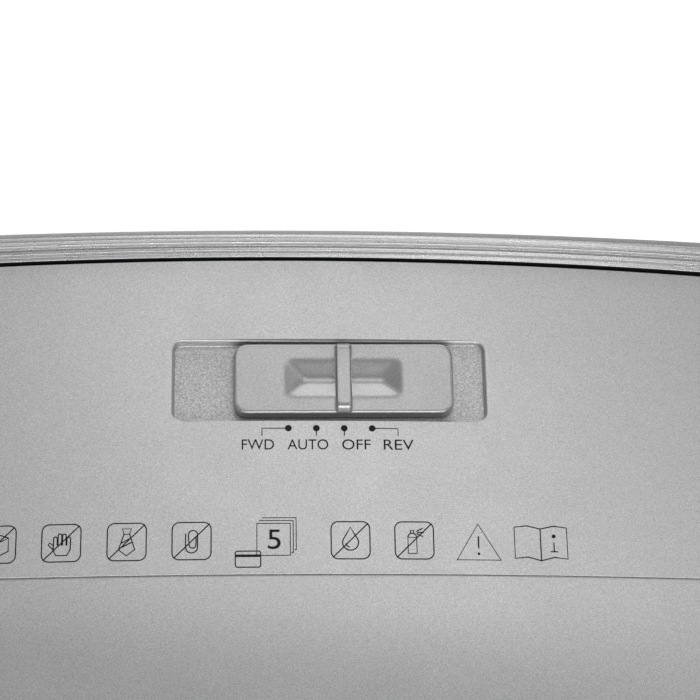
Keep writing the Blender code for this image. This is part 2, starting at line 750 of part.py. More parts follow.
def make_lower_housing():
    width = HEAD_WIDTH - 2 * REVEAL
    depth = HEAD_DEPTH - 2 * REVEAL
    corner = HEAD_CORNER - REVEAL
    bottom = BIN_HEIGHT + GAP
    mouth_width = BIN_WIDTH - 2 * BIN_WALL - 2 * SLIDE_GAP
    mouth_depth = BIN_DEPTH - 2 * BIN_WALL - 2 * SLIDE_GAP
    mouth_corner = BIN_CORNER - BIN_WALL - SLIDE_GAP
    skirt_z = bottom - RIM_DEPTH
    housing = add_object("lower_housing", ring_shell([
        (mouth_width - 2 * WALL, mouth_depth - 2 * WALL, mouth_corner - WALL, bottom + WALL / 2),
        (mouth_width - 2 * WALL, mouth_depth - 2 * WALL, mouth_corner - WALL, skirt_z),
        (mouth_width, mouth_depth, mouth_corner, skirt_z),
        (mouth_width, mouth_depth, mouth_corner, bottom),
        (width, depth, corner, bottom),
        (width, depth, corner, SPLIT_Z),
        (width - 2 * WALL, depth - 2 * WALL, corner - WALL, SPLIT_Z),
        (width - 2 * WALL, depth - 2 * WALL, corner - WALL, FLOOR_Z),
    ]), DARK)
    outlet_rear = min(REAR_CUTTER[0] + CUTTER_RADIUS, mouth_depth / 2 - 2 * WALL)
    outlet = cutter("shred_outlet", box(
        (-SLOT_LENGTH / 2 - 0.001, FRONT_CUTTER[0] - CUTTER_RADIUS - 0.005, bottom - 0.02),
        (SLOT_LENGTH / 2 + 0.001, outlet_rear, FLOOR_Z + 0.01),
    ))
    boolean(housing, outlet, "DIFFERENCE")
    gland_hole = cutter("gland_hole", along_y(GLAND, depth / 2 - 0.010, depth / 2 + 0.010, GLAND_RADIUS + GAP))
    boolean(housing, gland_hole, "DIFFERENCE")
    for name, x, y in screw_places():
        pillar = cutter(f"pillar_{name}", along_z(
            (x, y), FLOOR_Z - WALL / 2, FLOOR_Z + PILLAR_HEIGHT, PILLAR_RADIUS))
        boolean(housing, pillar, "UNION")
        hole = cutter(f"screw_hole_{name}", along_z((x, y), bottom - 0.01, FLOOR_Z + 0.01, SCREW_HOLE, 12))
        boolean(housing, hole, "DIFFERENCE")
        counterbore = cutter(f"counterbore_{name}", along_z(
            (x, y), bottom - 0.01, FLOOR_Z + COUNTERBORE_RISE, SCREW_HEAD + 2 * GAP))
        boolean(housing, counterbore, "DIFFERENCE")


def make_cord_gland():
    """A rubber bush in the rear wall, with a lip on each side and a bore right through."""
    face = HEAD_DEPTH / 2 - REVEAL
    inner = face - WALL - 0.004
    sides = 16
    bm = bmesh.new()
    loops = []
    stations = (
        (inner, GLAND_RADIUS), (face - 0.0002, GLAND_RADIUS), (face + 0.0006, GLAND_RADIUS - 0.0007),
        (face + 0.0006, GLAND_BORE), (inner, GLAND_BORE),
    )
    for y, radius in stations:
        ring = [bm.verts.new((GLAND[0] + a, y, GLAND[1] + b)) for a, b in circle(radius, sides)]
        loops.append(ring)
    join_loops(bm, loops)
    add_object("cord_gland", bm, RUBBER)


def screw_places():
    x = HEAD_WIDTH / 2 - REVEAL - WALL - SCREW_INSET
    y = HEAD_DEPTH / 2 - REVEAL - WALL - SCREW_INSET
    return [(name, side * x, end * y) for name, side, end in QUARTERS]


def make_cover_screws():
    """Screws put in from below: heads in the housing's pillars, ends in the cover's bosses."""
    head_top = FLOOR_Z + COUNTERBORE_RISE - GAP
    stations = (
        (FLOOR_Z + SCREW_LENGTH, SCREW_SHANK - 0.0005), (head_top + 0.0002, SCREW_SHANK),
        (head_top, SCREW_HEAD), (head_top - SCREW_HEAD_HEIGHT, SCREW_HEAD),
    )
    for name, x, y in screw_places():
        add_object(f"cover_screw_{name}", loft([
            [(x + a, y + b, z) for a, b in circle(radius, 12)] for z, radius in stations
        ]), ZINC, (x, y, FLOOR_Z))


def make_bin():
    outer_top = (BIN_WIDTH, BIN_DEPTH, BIN_CORNER)
    rim_z = BIN_HEIGHT
    flange_z = rim_z - RIM_DEPTH
    low_z = FOOT_HEIGHT + GAP
    small_w = BIN_WIDTH - 2 * BIN_TAPER
    small_d = BIN_DEPTH - 2 * BIN_TAPER
    wide = 2 * BIN_FLANGE
    thin = 2 * BIN_WALL
    add_object("waste_bin", ring_shell([
        (small_w - 0.010, small_d - 0.010, BIN_CORNER - 0.005, low_z),
        (small_w, small_d, BIN_CORNER, low_z + 0.005),
        (outer_top[0], outer_top[1], outer_top[2], flange_z - 0.003),
        (outer_top[0] + wide, outer_top[1] + wide, outer_top[2] + BIN_FLANGE, flange_z),
        (outer_top[0] + wide, outer_top[1] + wide, outer_top[2] + BIN_FLANGE, rim_z),
        (outer_top[0] - thin, outer_top[1] - thin, outer_top[2] - BIN_WALL, rim_z),
        (outer_top[0] - thin, outer_top[1] - thin, outer_top[2] - BIN_WALL, flange_z - 0.003),
        (small_w - thin, small_d - thin, BIN_CORNER - BIN_WALL, low_z + 0.006),
        (small_w - thin - 0.008, small_d - thin - 0.008, BIN_CORNER - BIN_WALL - 0.004, low_z + BIN_WALL),
    ]), DARK)
    for name, side, end in QUARTERS:
        x = side * (small_w / 2 - FOOT_INSET_X)
        y = end * (small_d / 2 - FOOT_INSET_Y)
        add_object(f"bin_foot_{name}", loft([
            [(x + a, y + b, z) for a, b in circle(radius, 16)]
            for z, radius in ((0.0, FOOT_RADIUS - 0.001), (0.001, FOOT_RADIUS), (FOOT_HEIGHT, FOOT_RADIUS))
        ]), RUBBER, (x, y, 0))


def blade_stations(places, half_width, end_x, drive_x):
    """(x, radius) stations of a cutter: journals, core and blades."""
    core_end = PLATE_X - 0.0012
    stations = [(-end_x, JOURNAL_RADIUS), (-core_end, JOURNAL_RADIUS), (-core_end, CUTTER_CORE)]
    for x in places:
        stations.append((x - half_width, CUTTER_CORE))
        stations.append((x - half_width, CUTTER_RADIUS))
        stations.append((x + half_width, CUTTER_RADIUS))
        stations.append((x + half_width, CUTTER_CORE))
    stations += [(core_end, CUTTER_CORE), (core_end, JOURNAL_RADIUS), (drive_x, JOURNAL_RADIUS)]
    return stations


def blade_places():
    first = -(FRONT_BLADES - 1) * BLADE_PITCH / 2
    front = [first + i * BLADE_PITCH for i in range(FRONT_BLADES)]
    rear = [x + BLADE_PITCH / 2 for x in front[:-1]]
    return front, rear


def make_cutters():
    front, rear = blade_places()
    half = BLADE_PITCH / 4 - BLADE_CLEARANCE / 2
    sync_end = DRIVE_X + GEAR_FACE + 0.0005
    short_end = PLATE_X + PLATE_THICKNESS
    origin = (0, *FRONT_CUTTER)
    add_object("front_cutter", along_x(
        FRONT_CUTTER, blade_stations(front, half, sync_end, sync_end), 14), STEEL, origin)
    origin = (0, *REAR_CUTTER)
    add_object("rear_cutter", along_x(
        REAR_CUTTER, blade_stations(rear, half, sync_end, short_end), 14), STEEL, origin)


def make_combs():
    """Stripper combs whose teeth stand between the blades."""
    front, rear = blade_places()
    tooth = BLADE_PITCH / 4 - BLADE_CLEARANCE
    half_length = PLATE_X - GAP
    z_mid = BIN_HEIGHT + CUTTER_RISE
    combs = (("front", FRONT_CUTTER[0], -1, rear), ("rear", REAR_CUTTER[0], 1, front[1:-1]))
    for name, axis_y, side, teeth in combs:
        root = axis_y + side * (CUTTER_RADIUS + COMB_ROOT_GAP)
        back = root + side * COMB_BACK
        tip = axis_y + side * (CUTTER_CORE + COMB_TIP_GAP)
        outline = [(half_length, back), (-half_length, back), (-half_length, root)]
        for x in teeth:
            outline += [(x - tooth, root), (x - tooth, tip), (x + tooth, tip), (x + tooth, root)]
        outline.append((half_length, root))
        add_object(f"{name}_stripper_comb", loft([
            [(x, y, z) for x, y in outline] for z in (z_mid - COMB_THICKNESS / 2, z_mid + COMB_THICKNESS / 2)
        ]), BLACK)


def plate_outline(front_y):
    rear_y = REAR_CUTTER[0] + CUTTER_RADIUS + 0.0035
    low = FLOOR_Z + GAP
    top = BIN_HEIGHT + CUTTER_RISE + 0.022
    return [
        (front_y, low), (rear_y, low), (rear_y, BIN_HEIGHT + CUTTER_RISE),
        (REAR_CUTTER[0] - 0.002, top), (front_y + 0.010, top), (front_y, top - 0.010),
    ]


def make_plates():
    outer = JOURNAL_RADIUS + GAP + BUSH_WALL
    for name, side in (("left", -1), ("right", 1)):
        inner_x = side * PLATE_X
        outer_x = side * (PLATE_X + PLATE_THICKNESS)
        front_y = MOTOR[0] - 0.018 if side > 0 else FRONT_CUTTER[0] - CUTTER_RADIUS - 0.012
        plate = add_object(
            f"{name}_side_plate",
            extrude_x(plate_outline(front_y), min(inner_x, outer_x), max(inner_x, outer_x)),
            ZINC,
        )
        holes = [(FRONT_CUTTER, outer + GAP), (REAR_CUTTER, outer + GAP)]
        if side > 0:
            holes += [(CLUSTER, AXLE_RADIUS + GAP), (MOTOR, MOTOR_SHAFT + 0.003)]
        for number, (centre, radius) in enumerate(holes):
            hole = cutter(f"{name}_plate_hole_{number}", along_x(
                centre, [(inner_x - 0.01, radius), (inner_x + 0.01, radius)], 20))
            boolean(plate, hole, "DIFFERENCE")
        for row, centre in (("front", FRONT_CUTTER), ("rear", REAR_CUTTER)):
            x0 = min(inner_x, outer_x) - (0.0005 if side > 0 else 0)
            x1 = max(inner_x, outer_x) + (0 if side > 0 else 0.0005)
            add_object(f"{row}_{name}_bush", tube_along_x(
                centre, x0, x1, JOURNAL_RADIUS + GAP, outer, 18), BRONZE)


def make_tie_rods():
    low = FLOOR_Z + 0.008
    places = (
        ("front_tie_rod", (FRONT_CUTTER[0] - CUTTER_RADIUS - 0.006, low)),
        ("rear_tie_rod", (REAR_CUTTER[0] + CUTTER_RADIUS - 0.003, low)),
    )
    for name, centre in places:
        add_object(name, along_x(
            centre, [(-PLATE_X + GAP, ROD_RADIUS), (PLATE_X - GAP, ROD_RADIUS)], 12), ZINC)


def gear_outline(module, teeth, phase, fine):
    """Involute teeth at 20 degrees, thinned by half the backlash on each side; a tooth is centred on phase."""
    pitch = module * teeth / 2
    base = pitch * math.cos(math.radians(20))
    tip = pitch + 0.92 * module
    root = pitch - 1.22 * module

    def half_angle(radius):
        involute = math.tan(math.radians(20)) - math.radians(20)
        half = math.pi / 2 / teeth + involute - BACKLASH / 2 / pitch
        if radius <= base:
            return half
        angle = math.acos(base / radius)
        return half - (math.tan(angle) - angle)

    low = max(root, base * 0.999)
    radii = [root, low, (low + tip) / 2, tip] if fine else [root, tip]
    points = []
    for tooth in range(teeth):
        centre = phase + math.tau * tooth / teeth
        for radius in radii:
            angle = centre - half_angle(radius)
            points.append((radius * math.cos(angle), radius * math.sin(angle)))
        for radius in reversed(radii):
            angle = centre + half_angle(radius)
            points.append((radius * math.cos(angle), radius * math.sin(angle)))
    return points


def gear_body(centre, x0, x1, module, teeth, phase, fine=True):
    outline = gear_outline(module, teeth, phase, fine)
    return extrude_x([(centre[0] + y, centre[1] + z) for y, z in outline], x0, x1)


def bore_out(obj, centre, radius, x0, x1):
    bore = cutter(f"{obj.name}_bore", along_x(centre, [(x0 - 0.002, radius), (x1 + 0.002, radius)], 18))
    boolean(obj, bore, "DIFFERENCE")


def make_gears():
    """Every pair is in mesh at rest: a tooth of one points at a gap of the other."""
    module = CUTTER_SPACING / SYNC_TEETH
    x1 = -DRIVE_X
    x0 = x1 - GEAR_FACE
    shaft = JOURNAL_RADIUS + GAP
    front = add_object("front_sync_gear", gear_body(FRONT_CUTTER, x0, x1, module, SYNC_TEETH, 0.0),
                       STEEL, (0, *FRONT_CUTTER))
    bore_out(front, FRONT_CUTTER, shaft, x0, x1)
    rear_phase = math.pi + math.pi / SYNC_TEETH
    rear = add_object("rear_sync_gear", gear_body(REAR_CUTTER, x0, x1, module, SYNC_TEETH, rear_phase),
                      STEEL, (0, *REAR_CUTTER))
    bore_out(rear, REAR_CUTTER, shaft, x0, x1)
    x0 = DRIVE_X
    x1 = DRIVE_X + GEAR_FACE
    toward_cluster = math.pi + TRAIN_ANGLE
    drive = add_object(
        "cutter_drive_gear",
        gear_body(FRONT_CUTTER, x0, x1, DRIVE_MODULE, DRIVE_TEETH, toward_cluster, False),
        STEEL, (0, *FRONT_CUTTER))
    bore_out(drive, FRONT_CUTTER, shaft, x0, x1)
    small_phase = TRAIN_ANGLE + math.pi / SMALL_TEETH
    cluster = add_object(
        "cluster_gear",
        gear_body(CLUSTER, FIRST_X, TRAIN_END_X - 0.002, FIRST_MODULE, FIRST_TEETH, math.pi, False),
        NYLON, (0, *CLUSTER))
    small = cutter("cluster_small_gear", gear_body(
        CLUSTER, x0, FIRST_X + 0.001, DRIVE_MODULE, SMALL_TEETH, small_phase))
    boolean(cluster, small, "UNION")
    bore_out(cluster, CLUSTER, AXLE_RADIUS + GAP, x0, TRAIN_END_X)
    add_object("cluster_axle", along_x(
        CLUSTER, [(PLATE_X - 0.001, AXLE_RADIUS), (TRAIN_END_X, AXLE_RADIUS)], 14), STEEL)
    pinion = add_object("motor_pinion", gear_body(
        MOTOR, FIRST_X - 0.0005, TRAIN_END_X - 0.0015, FIRST_MODULE, SMALL_TEETH, math.pi / SMALL_TEETH),
        STEEL, (0, *MOTOR))
    shaft_body = cutter("motor_shaft", along_x(
        MOTOR, [(PLATE_X - 0.004, MOTOR_SHAFT), (TRAIN_END_X - 0.0005, MOTOR_SHAFT)], 12))
    boolean(pinion, shaft_body, "UNION")


def hull_of_circles(circles, sides):
    """Points of the convex outline round several circles, each ((y, z), radius)."""
    points = []
    for i in range(sides):
        angle = math.tau * (i + 0.5) / sides
        direction = Vector((math.cos(angle), math.sin(angle)))
        centre, radius = max(circles, key=lambda item: Vector(item[0]).dot(direction) + item[1])
        points.append((centre[0] + radius * direction.x, centre[1] + radius * direction.y))
    return points


def make_gear_cover():
    drive_tip = DRIVE_MODULE * (DRIVE_TEETH / 2 + 1) + COVER_SPACE
    first_tip = FIRST_MODULE * (FIRST_TEETH / 2 + 1) + COVER_SPACE
    pinion_tip = FIRST_MODULE * (SMALL_TEETH / 2 + 2) + COVER_SPACE
    inner = [(FRONT_CUTTER, drive_tip), (CLUSTER, first_tip), (MOTOR, pinion_tip)]
    outer = [(centre, radius + COVER_WALL) for centre, radius in inner]
    x0 = PLATE_X + PLATE_THICKNESS + GAP
    x1 = TRAIN_END_X + 0.0005
    rings = []
    for x, circles in ((x1, inner), (x0, inner), (x0, outer), (x1 + COVER_WALL, outer)):
        rings.append([(x, y, z) for y, z in hull_of_circles(circles, 22)])
    add_object("gear_cover", loft(rings), BLACK)


def make_motor():
    start = PLATE_X - 0.0005 - MOTOR_LENGTH
    end = PLATE_X - GAP
    motor = add_object("motor_case", along_x(MOTOR, [
        (start - 0.006, 0.007), (start, 0.007), (start, MOTOR_RADIUS - 0.003), (start + 0.003, MOTOR_RADIUS),
        (end - 0.003, MOTOR_RADIUS), (end, MOTOR_RADIUS - 0.003),
    ], 24), STEEL)
    bore_out(motor, MOTOR, MOTOR_SHAFT + 0.0006, PLATE_X - 0.006, PLATE_X + 0.006)
    middle = start + MOTOR_LENGTH / 2
    add_object("thermal_cutout", box_about(
        (middle, MOTOR[0], MOTOR[1] + MOTOR_RADIUS + GAP + CUTOUT_SIZE[2] / 2), CUTOUT_SIZE), BLACK)


def make_electrics():
    board_x, board_y = BOARD_PLACE
    board_z = FLOOR_Z + BOARD_RISE
    add_object("control_board", box_about((board_x, board_y, board_z), BOARD_SIZE), BOARD)
    inset, interlock_y = INTERLOCK_PLACE
    add_object("interlock_switch", box_about(
        (-HEAD_WIDTH / 2 + inset, interlock_y, FLOOR_Z + GAP + INTERLOCK_SIZE[2] / 2), INTERLOCK_SIZE), BLACK)
    centre = (board_y, board_z + BOARD_SIZE[2] / 2 + GAP + CAPACITOR_RADIUS)
    add_object("start_capacitor", rod_along_x(centre, *CAPACITOR_SPAN, CAPACITOR_RADIUS, 16), BLACK)


def main():
    clear_scene()
    make_bin()
    make_lower_housing()
    make_top_cover()
    make_control_panel()
    make_paper_guide()
    make_paper_throat()
    make_paper_sensor()
    make_slider()
    make_switch()
    make_cutters()
    make_combs()
    make_plates()
    make_tie_rods()
    make_gears()
    make_gear_cover()
    make_motor()
    make_electrics()
    make_cord_gland()
    make_cover_screws()


main()
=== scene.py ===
"""Looks of the desk-side paper shredder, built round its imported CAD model. Metres, +Z up, front facing -Y."""

import json
import math

import bmesh
import bpy
from mathutils import Matrix, Vector


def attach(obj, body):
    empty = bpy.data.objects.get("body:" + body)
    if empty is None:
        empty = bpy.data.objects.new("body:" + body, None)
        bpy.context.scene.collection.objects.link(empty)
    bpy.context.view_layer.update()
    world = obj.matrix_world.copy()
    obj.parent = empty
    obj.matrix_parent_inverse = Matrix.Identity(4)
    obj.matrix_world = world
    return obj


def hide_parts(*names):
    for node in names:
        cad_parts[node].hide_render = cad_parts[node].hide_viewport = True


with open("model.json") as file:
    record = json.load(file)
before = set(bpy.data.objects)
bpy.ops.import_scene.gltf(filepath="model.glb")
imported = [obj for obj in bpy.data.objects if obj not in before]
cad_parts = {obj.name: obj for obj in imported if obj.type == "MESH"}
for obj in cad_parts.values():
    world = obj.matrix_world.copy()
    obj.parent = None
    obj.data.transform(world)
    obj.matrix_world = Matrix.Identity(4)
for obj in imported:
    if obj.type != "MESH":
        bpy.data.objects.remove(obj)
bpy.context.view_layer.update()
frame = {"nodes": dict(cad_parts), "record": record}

# Control panel and head, as in the CAD source
PANEL_SLOPE = math.radians(12)
PANEL_LENGTH = 0.0639
PANEL_WIDTH = 0.276
PANEL_THICKNESS = 0.0025
LIP_Y = 0.0315
LIP_Z = 0.3546
SEAM = 0.0005
SEAM_Y = LIP_Y - PANEL_LENGTH * math.cos(PANEL_SLOPE)
REAR_ARCH = 0.92
FRONT_ARCH = 1.20
EDGE_BOW = 4.00
BOW_REACH = 0.012
SLOT_FRONT_Y = 0.0360

# Switch, in the panel's own frame
KNOB_X = 0.0137
KNOB_LENGTH = 0.0420
KNOB_DEPTH = 0.0142
KNOB_HEIGHT = 0.0031
KNOB_CORNER = 0.0026
KNOB_MID = -0.0250
KNOB_SIDE_GAP = 0.0008
PITCH = 0.0053
RECESS_DEPTH = 0.0023
RECESS_CORNER = 0.0016
RECESS_LEFT = KNOB_X - KNOB_LENGTH / 2 - 2 * PITCH - KNOB_SIDE_GAP
RECESS_RIGHT = KNOB_X + KNOB_LENGTH / 2 + PITCH + KNOB_SIDE_GAP

# Camera, in the panel's own frame
CAMERA_AIM = (0.01507, -0.01894, 0.0)
CAMERA_DISTANCE = 0.443
VIEW_DIRECTION = (0.0425, 0.380, -0.9241)
VIEW_RIGHT = (0.9991, -0.0180, 0.0393)
FOCAL_LENGTH = 118.54


# ---- Places ----

def panel_frame():
    return Matrix.Translation((0, LIP_Y, LIP_Z)) @ Matrix.Rotation(PANEL_SLOPE, 4, "X")


def arch_drop(x, y):
    """How far the arched top has fallen at x from its height at the middle."""
    share = min(max((LIP_Y - y) / (LIP_Y - SEAM_Y), 0.0), 1.0)
    curvature = (1 - share) / REAR_ARCH + share / FRONT_ARCH
    return curvature * x * x / 2


def bow(x):
    """How far forward the panel's rear edge curves at x."""
    return x * x / 2 / EDGE_BOW


def in_section(along, out):
    """The (y, z) place in the head's middle section of a point given on the flat panel."""
    y = LIP_Y + along * math.cos(PANEL_SLOPE) - out * math.sin(PANEL_SLOPE)
    z = LIP_Z + along * math.sin(PANEL_SLOPE) + out * math.cos(PANEL_SLOPE)
    return y, z


def on_arch(x, along, out):
    """The place in the object of a point given on the flat panel, once the panel is arched."""
    y, z = in_section(along, out)
    return Vector((x, y, z - arch_drop(x, y)))


# ---- Hand tools ----

def deselect():
    bpy.ops.object.select_all(action="DESELECT")


def take(obj):
    deselect()
    obj.select_set(True)
    bpy.context.view_layer.objects.active = obj


def place_in_mesh(obj):
    """Puts the object's place, turn and scale into its mesh."""
    take(obj)
    bpy.ops.object.transform_apply(location=True, rotation=True, scale=True)


def start_cube(name, low, high):
    deselect()
    size = [h - l for l, h in zip(low, high)]
    middle = [(l + h) / 2 for l, h in zip(low, high)]
    bpy.ops.mesh.primitive_cube_add(size=1, location=middle, scale=size)
    obj = bpy.context.object
    obj.name = name
    place_in_mesh(obj)
    return obj


def start_grid(name, columns, rows, width, depth):
    """A flat grid about the origin."""
    deselect()
    bpy.ops.mesh.primitive_grid_add(x_subdivisions=columns, y_subdivisions=rows, size=1)
    obj = bpy.context.object
    obj.name = name
    bpy.ops.transform.resize(value=(width, depth, 1))
    place_in_mesh(obj)
    return obj


def start_cylinder(name, centre, radius, length, axis, sides=48):
    deselect()
    turn = {"X": (0, math.pi / 2, 0), "Y": (math.pi / 2, 0, 0), "Z": (0, 0, 0)}[axis]
    bpy.ops.mesh.primitive_cylinder_add(
        vertices=sides, radius=radius, depth=length, location=centre, rotation=turn)
    obj = bpy.context.object
    obj.name = name
    place_in_mesh(obj)
    return obj


def edit_edges(obj, wanted):
    """Opens the mesh for editing with only the edges selected that wanted(start, end) picks."""
    take(obj)
    bpy.ops.object.mode_set(mode="EDIT")
    bpy.ops.mesh.select_mode(type="EDGE")
    bm = bmesh.from_edit_mesh(obj.data)
    for edge in bm.edges:
        edge.select_set(False)
    for edge in bm.edges:
        if wanted(edge.verts[0].co, edge.verts[1].co):
            edge.select_set(True)
    bm.select_flush_mode()
    bmesh.update_edit_mesh(obj.data)


def edit_faces(obj, wanted):
    """Opens the mesh for editing with only the faces selected that wanted(centre, normal) picks."""
    take(obj)
    bpy.ops.object.mode_set(mode="EDIT")
    bpy.ops.mesh.select_mode(type="FACE")
    bm = bmesh.from_edit_mesh(obj.data)
    for face in bm.faces:
        face.select_set(False)
    for face in bm.faces:
        if wanted(face.calc_center_median(), face.normal):
            face.select_set(True)
    bm.select_flush_mode()
    bmesh.update_edit_mesh(obj.data)


def done():
    bpy.ops.object.mode_set(mode="OBJECT")


def move_mesh(obj, shift):
    take(obj)
    bpy.ops.transform.translate(value=shift)
    place_in_mesh(obj)


def face_outward():
    """Turns every face of the mesh being edited outward."""
    bpy.ops.mesh.select_all(action="SELECT")
    bpy.ops.mesh.normals_make_consistent(inside=False)


def thicken_down(obj, thickness):
    """Pulls a flat grid down into a slab."""
    edit_faces(obj, lambda centre, normal: True)
    bpy.ops.mesh.extrude_region_move(TRANSFORM_OT_translate={"value": (0, 0, -thickness)})
    face_outward()
    done()


def bevel_edges(obj, wanted, width, segments):
    edit_edges(obj, wanted)
    bpy.ops.mesh.bevel(offset=width, offset_type="OFFSET", segments=segments, affect="EDGES")
    done()


def apply_modifier(obj, kind, **settings):
    take(obj)
    modifier = obj.modifiers.new(kind.lower(), kind)
    for name, value in settings.items():
        setattr(modifier, name, value)
    bpy.ops.object.modifier_apply(modifier=modifier.name)


def combine(obj, other, operation):
    """Joins or cuts with another solid, which is used up."""
    apply_modifier(obj, "BOOLEAN", operation=operation, object=other, solver="EXACT")
    bpy.data.objects.remove(other, do_unlink=True)


def smooth(obj, degrees=35, weighted=False):
    take(obj)
    bpy.ops.object.shade_smooth_by_angle(angle=math.radians(degrees))
    if weighted:
        apply_modifier(obj, "WEIGHTED_NORMAL", keep_sharp=True, weight=100)


def finish_piece(obj, body, material, slot, *nodes):
    obj.data.materials.clear()
    obj.data.materials.append(material)
    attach(obj, body)
    if nodes:
        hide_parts(*nodes)
    return obj


def loft(name, rings):
    """A closed body through rings of points, capped at both ends."""
    bm = bmesh.new()
    loops = [[bm.verts.new(point) for point in ring] for ring in rings]
    for first, second in zip(loops, loops[1:]):
        for i in range(len(first)):
            j = (i + 1) % len(first)
            bm.faces.new((first[i], first[j], second[j], second[i]))
    bm.faces.new(loops[0][::-1])
    bm.faces.new(loops[-1])
    bmesh.ops.recalc_face_normals(bm, faces=bm.faces)
    mesh = bpy.data.meshes.new(name)
    bm.to_mesh(mesh)
    bm.free()
    obj = bpy.data.objects.new(name, mesh)
    bpy.context.scene.collection.objects.link(obj)
    return obj


def rounded_outline(width, depth, corner, steps=8):
    points = []
    for turn, (sx, sy) in enumerate(((1, 1), (-1, 1), (-1, -1), (1, -1))):
        for step in range(steps + 1):
            angle = math.pi / 2 * (turn + step / steps)
            points.append((
                sx * (width / 2 - corner) + corner * math.cos(angle),
                sy * (depth / 2 - corner) + corner * math.sin(angle),
            ))
    return points


# ---- Materials ----

def new_material(name, colour, roughness, metallic=0.0):
    made = bpy.data.materials.new(name)
    made.use_nodes = True
    shader = made.node_tree.nodes["Principled BSDF"]
    shader.inputs["Base Color"].default_value = (*colour, 1.0)
    shader.inputs["Roughness"].default_value = roughness
    shader.inputs["Metallic"].default_value = metallic
    return made, made.node_tree, shader


def noise_node(tree, scale, detail, stretch=(1, 1, 1)):
    nodes, links = tree.nodes, tree.links
    place = nodes.new("ShaderNodeTexCoord")
    mapping = nodes.new("ShaderNodeMapping")
    mapping.inputs["Scale"].default_value = stretch
    links.new(place.outputs["Object"], mapping.inputs["Vector"])
    noise = nodes.new("ShaderNodeTexNoise")
    noise.inputs["Scale"].default_value = scale
    noise.inputs["Detail"].default_value = detail
    noise.inputs["Roughness"].default_value = 0.6
    links.new(mapping.outputs["Vector"], noise.inputs["Vector"])
    return noise


def add_bump(tree, shader, height, strength, distance, before=None):
    bump = tree.nodes.new("ShaderNodeBump")
    bump.inputs["Strength"].default_value = strength
    bump.inputs["Distance"].default_value = distance
    tree.links.new(height, bump.inputs["Height"])
    if before:
        tree.links.new(before.outputs["Normal"], bump.inputs["Normal"])
    tree.links.new(bump.outputs["Normal"], shader.inputs["Normal"])
    return bump


def vary_colour(tree, shader, factor, dark, light, low=0.3, high=0.7):
    ramp = tree.nodes.new("ShaderNodeValToRGB")
    ramp.color_ramp.elements[0].position = low
    ramp.color_ramp.elements[0].color = (*dark, 1)
    ramp.color_ramp.elements[1].position = high
    ramp.color_ramp.elements[1].color = (*light, 1)
    tree.links.new(factor, ramp.inputs["Fac"])
    tree.links.new(ramp.outputs["Color"], shader.inputs["Base Color"])


def vary_roughness(tree, shader, factor, low, high):
    span = tree.nodes.new("ShaderNodeMapRange")
    span.inputs["To Min"].default_value = low
    span.inputs["To Max"].default_value = high
    tree.links.new(factor, span.inputs["Value"])
    tree.links.new(span.outputs["Result"], shader.inputs["Roughness"])


def shade(tone, factor):
    return tuple(c * factor for c in tone)


def silver_paint(name, grain, roughness, light=0.56, spread=0.26, flake_scale=5200):
    """Metallic paint on moulded plastic: fine flakes, a faint orange peel and slow changes of tone."""
    made, tree, shader = new_material(name, (light, light, light), roughness, 0.85)
    flakes = noise_node(tree, flake_scale, 2.0)
    flakes.inputs["Roughness"].default_value = 0.75
    dark = (light * (1 - spread),) * 3
    bright = (light * (1 + spread),) * 3
    vary_colour(tree, shader, flakes.outputs["Fac"], dark, bright, 0.34, 0.66)
    cloud = noise_node(tree, 90, 2.0)
    vary_roughness(tree, shader, cloud.outputs["Fac"], roughness - 0.04, roughness + 0.05)
    peel = noise_node(tree, 1500, 2.0)
    first = add_bump(tree, shader, peel.outputs["Fac"], 0.10 * grain, 0.0001)
    fine = noise_node(tree, 4200, 3.0)
    add_bump(tree, shader, fine.outputs["Fac"], 0.22 * grain, 0.00006, first)
    return made


def moulded_plastic(name, tone, roughness, grain_scale=1400, strength=0.25):
    """Plain moulded plastic with a spark-eroded texture and slightly polished high spots."""
    made, tree, shader = new_material(name, tone, roughness)
    shader.inputs["Specular IOR Level"].default_value = 0.4
    texture = noise_node(tree, grain_scale, 3.0)
    add_bump(tree, shader, texture.outputs["Fac"], strength, 0.00012)
    tones = noise_node(tree, 35, 3.0)
    vary_colour(tree, shader, tones.outputs["Fac"], shade(tone, 0.86), shade(tone, 1.14))
    vary_roughness(tree, shader, texture.outputs["Fac"], roughness - 0.07, roughness + 0.08)
    return made


def worked_metal(name, tone, roughness, stretch, scale=900):
    """Metal with tooling lines along one direction and faint staining."""
    made, tree, shader = new_material(name, tone, roughness, 1.0)
    lines = noise_node(tree, scale, 2.0, stretch)
    add_bump(tree, shader, lines.outputs["Fac"], 0.18, 0.00005)
    stain = noise_node(tree, 60, 4.0)
    vary_colour(tree, shader, stain.outputs["Fac"], shade(tone, 0.82), shade(tone, 1.08))
    vary_roughness(tree, shader, lines.outputs["Fac"], roughness - 0.06, roughness + 0.10)
    return made


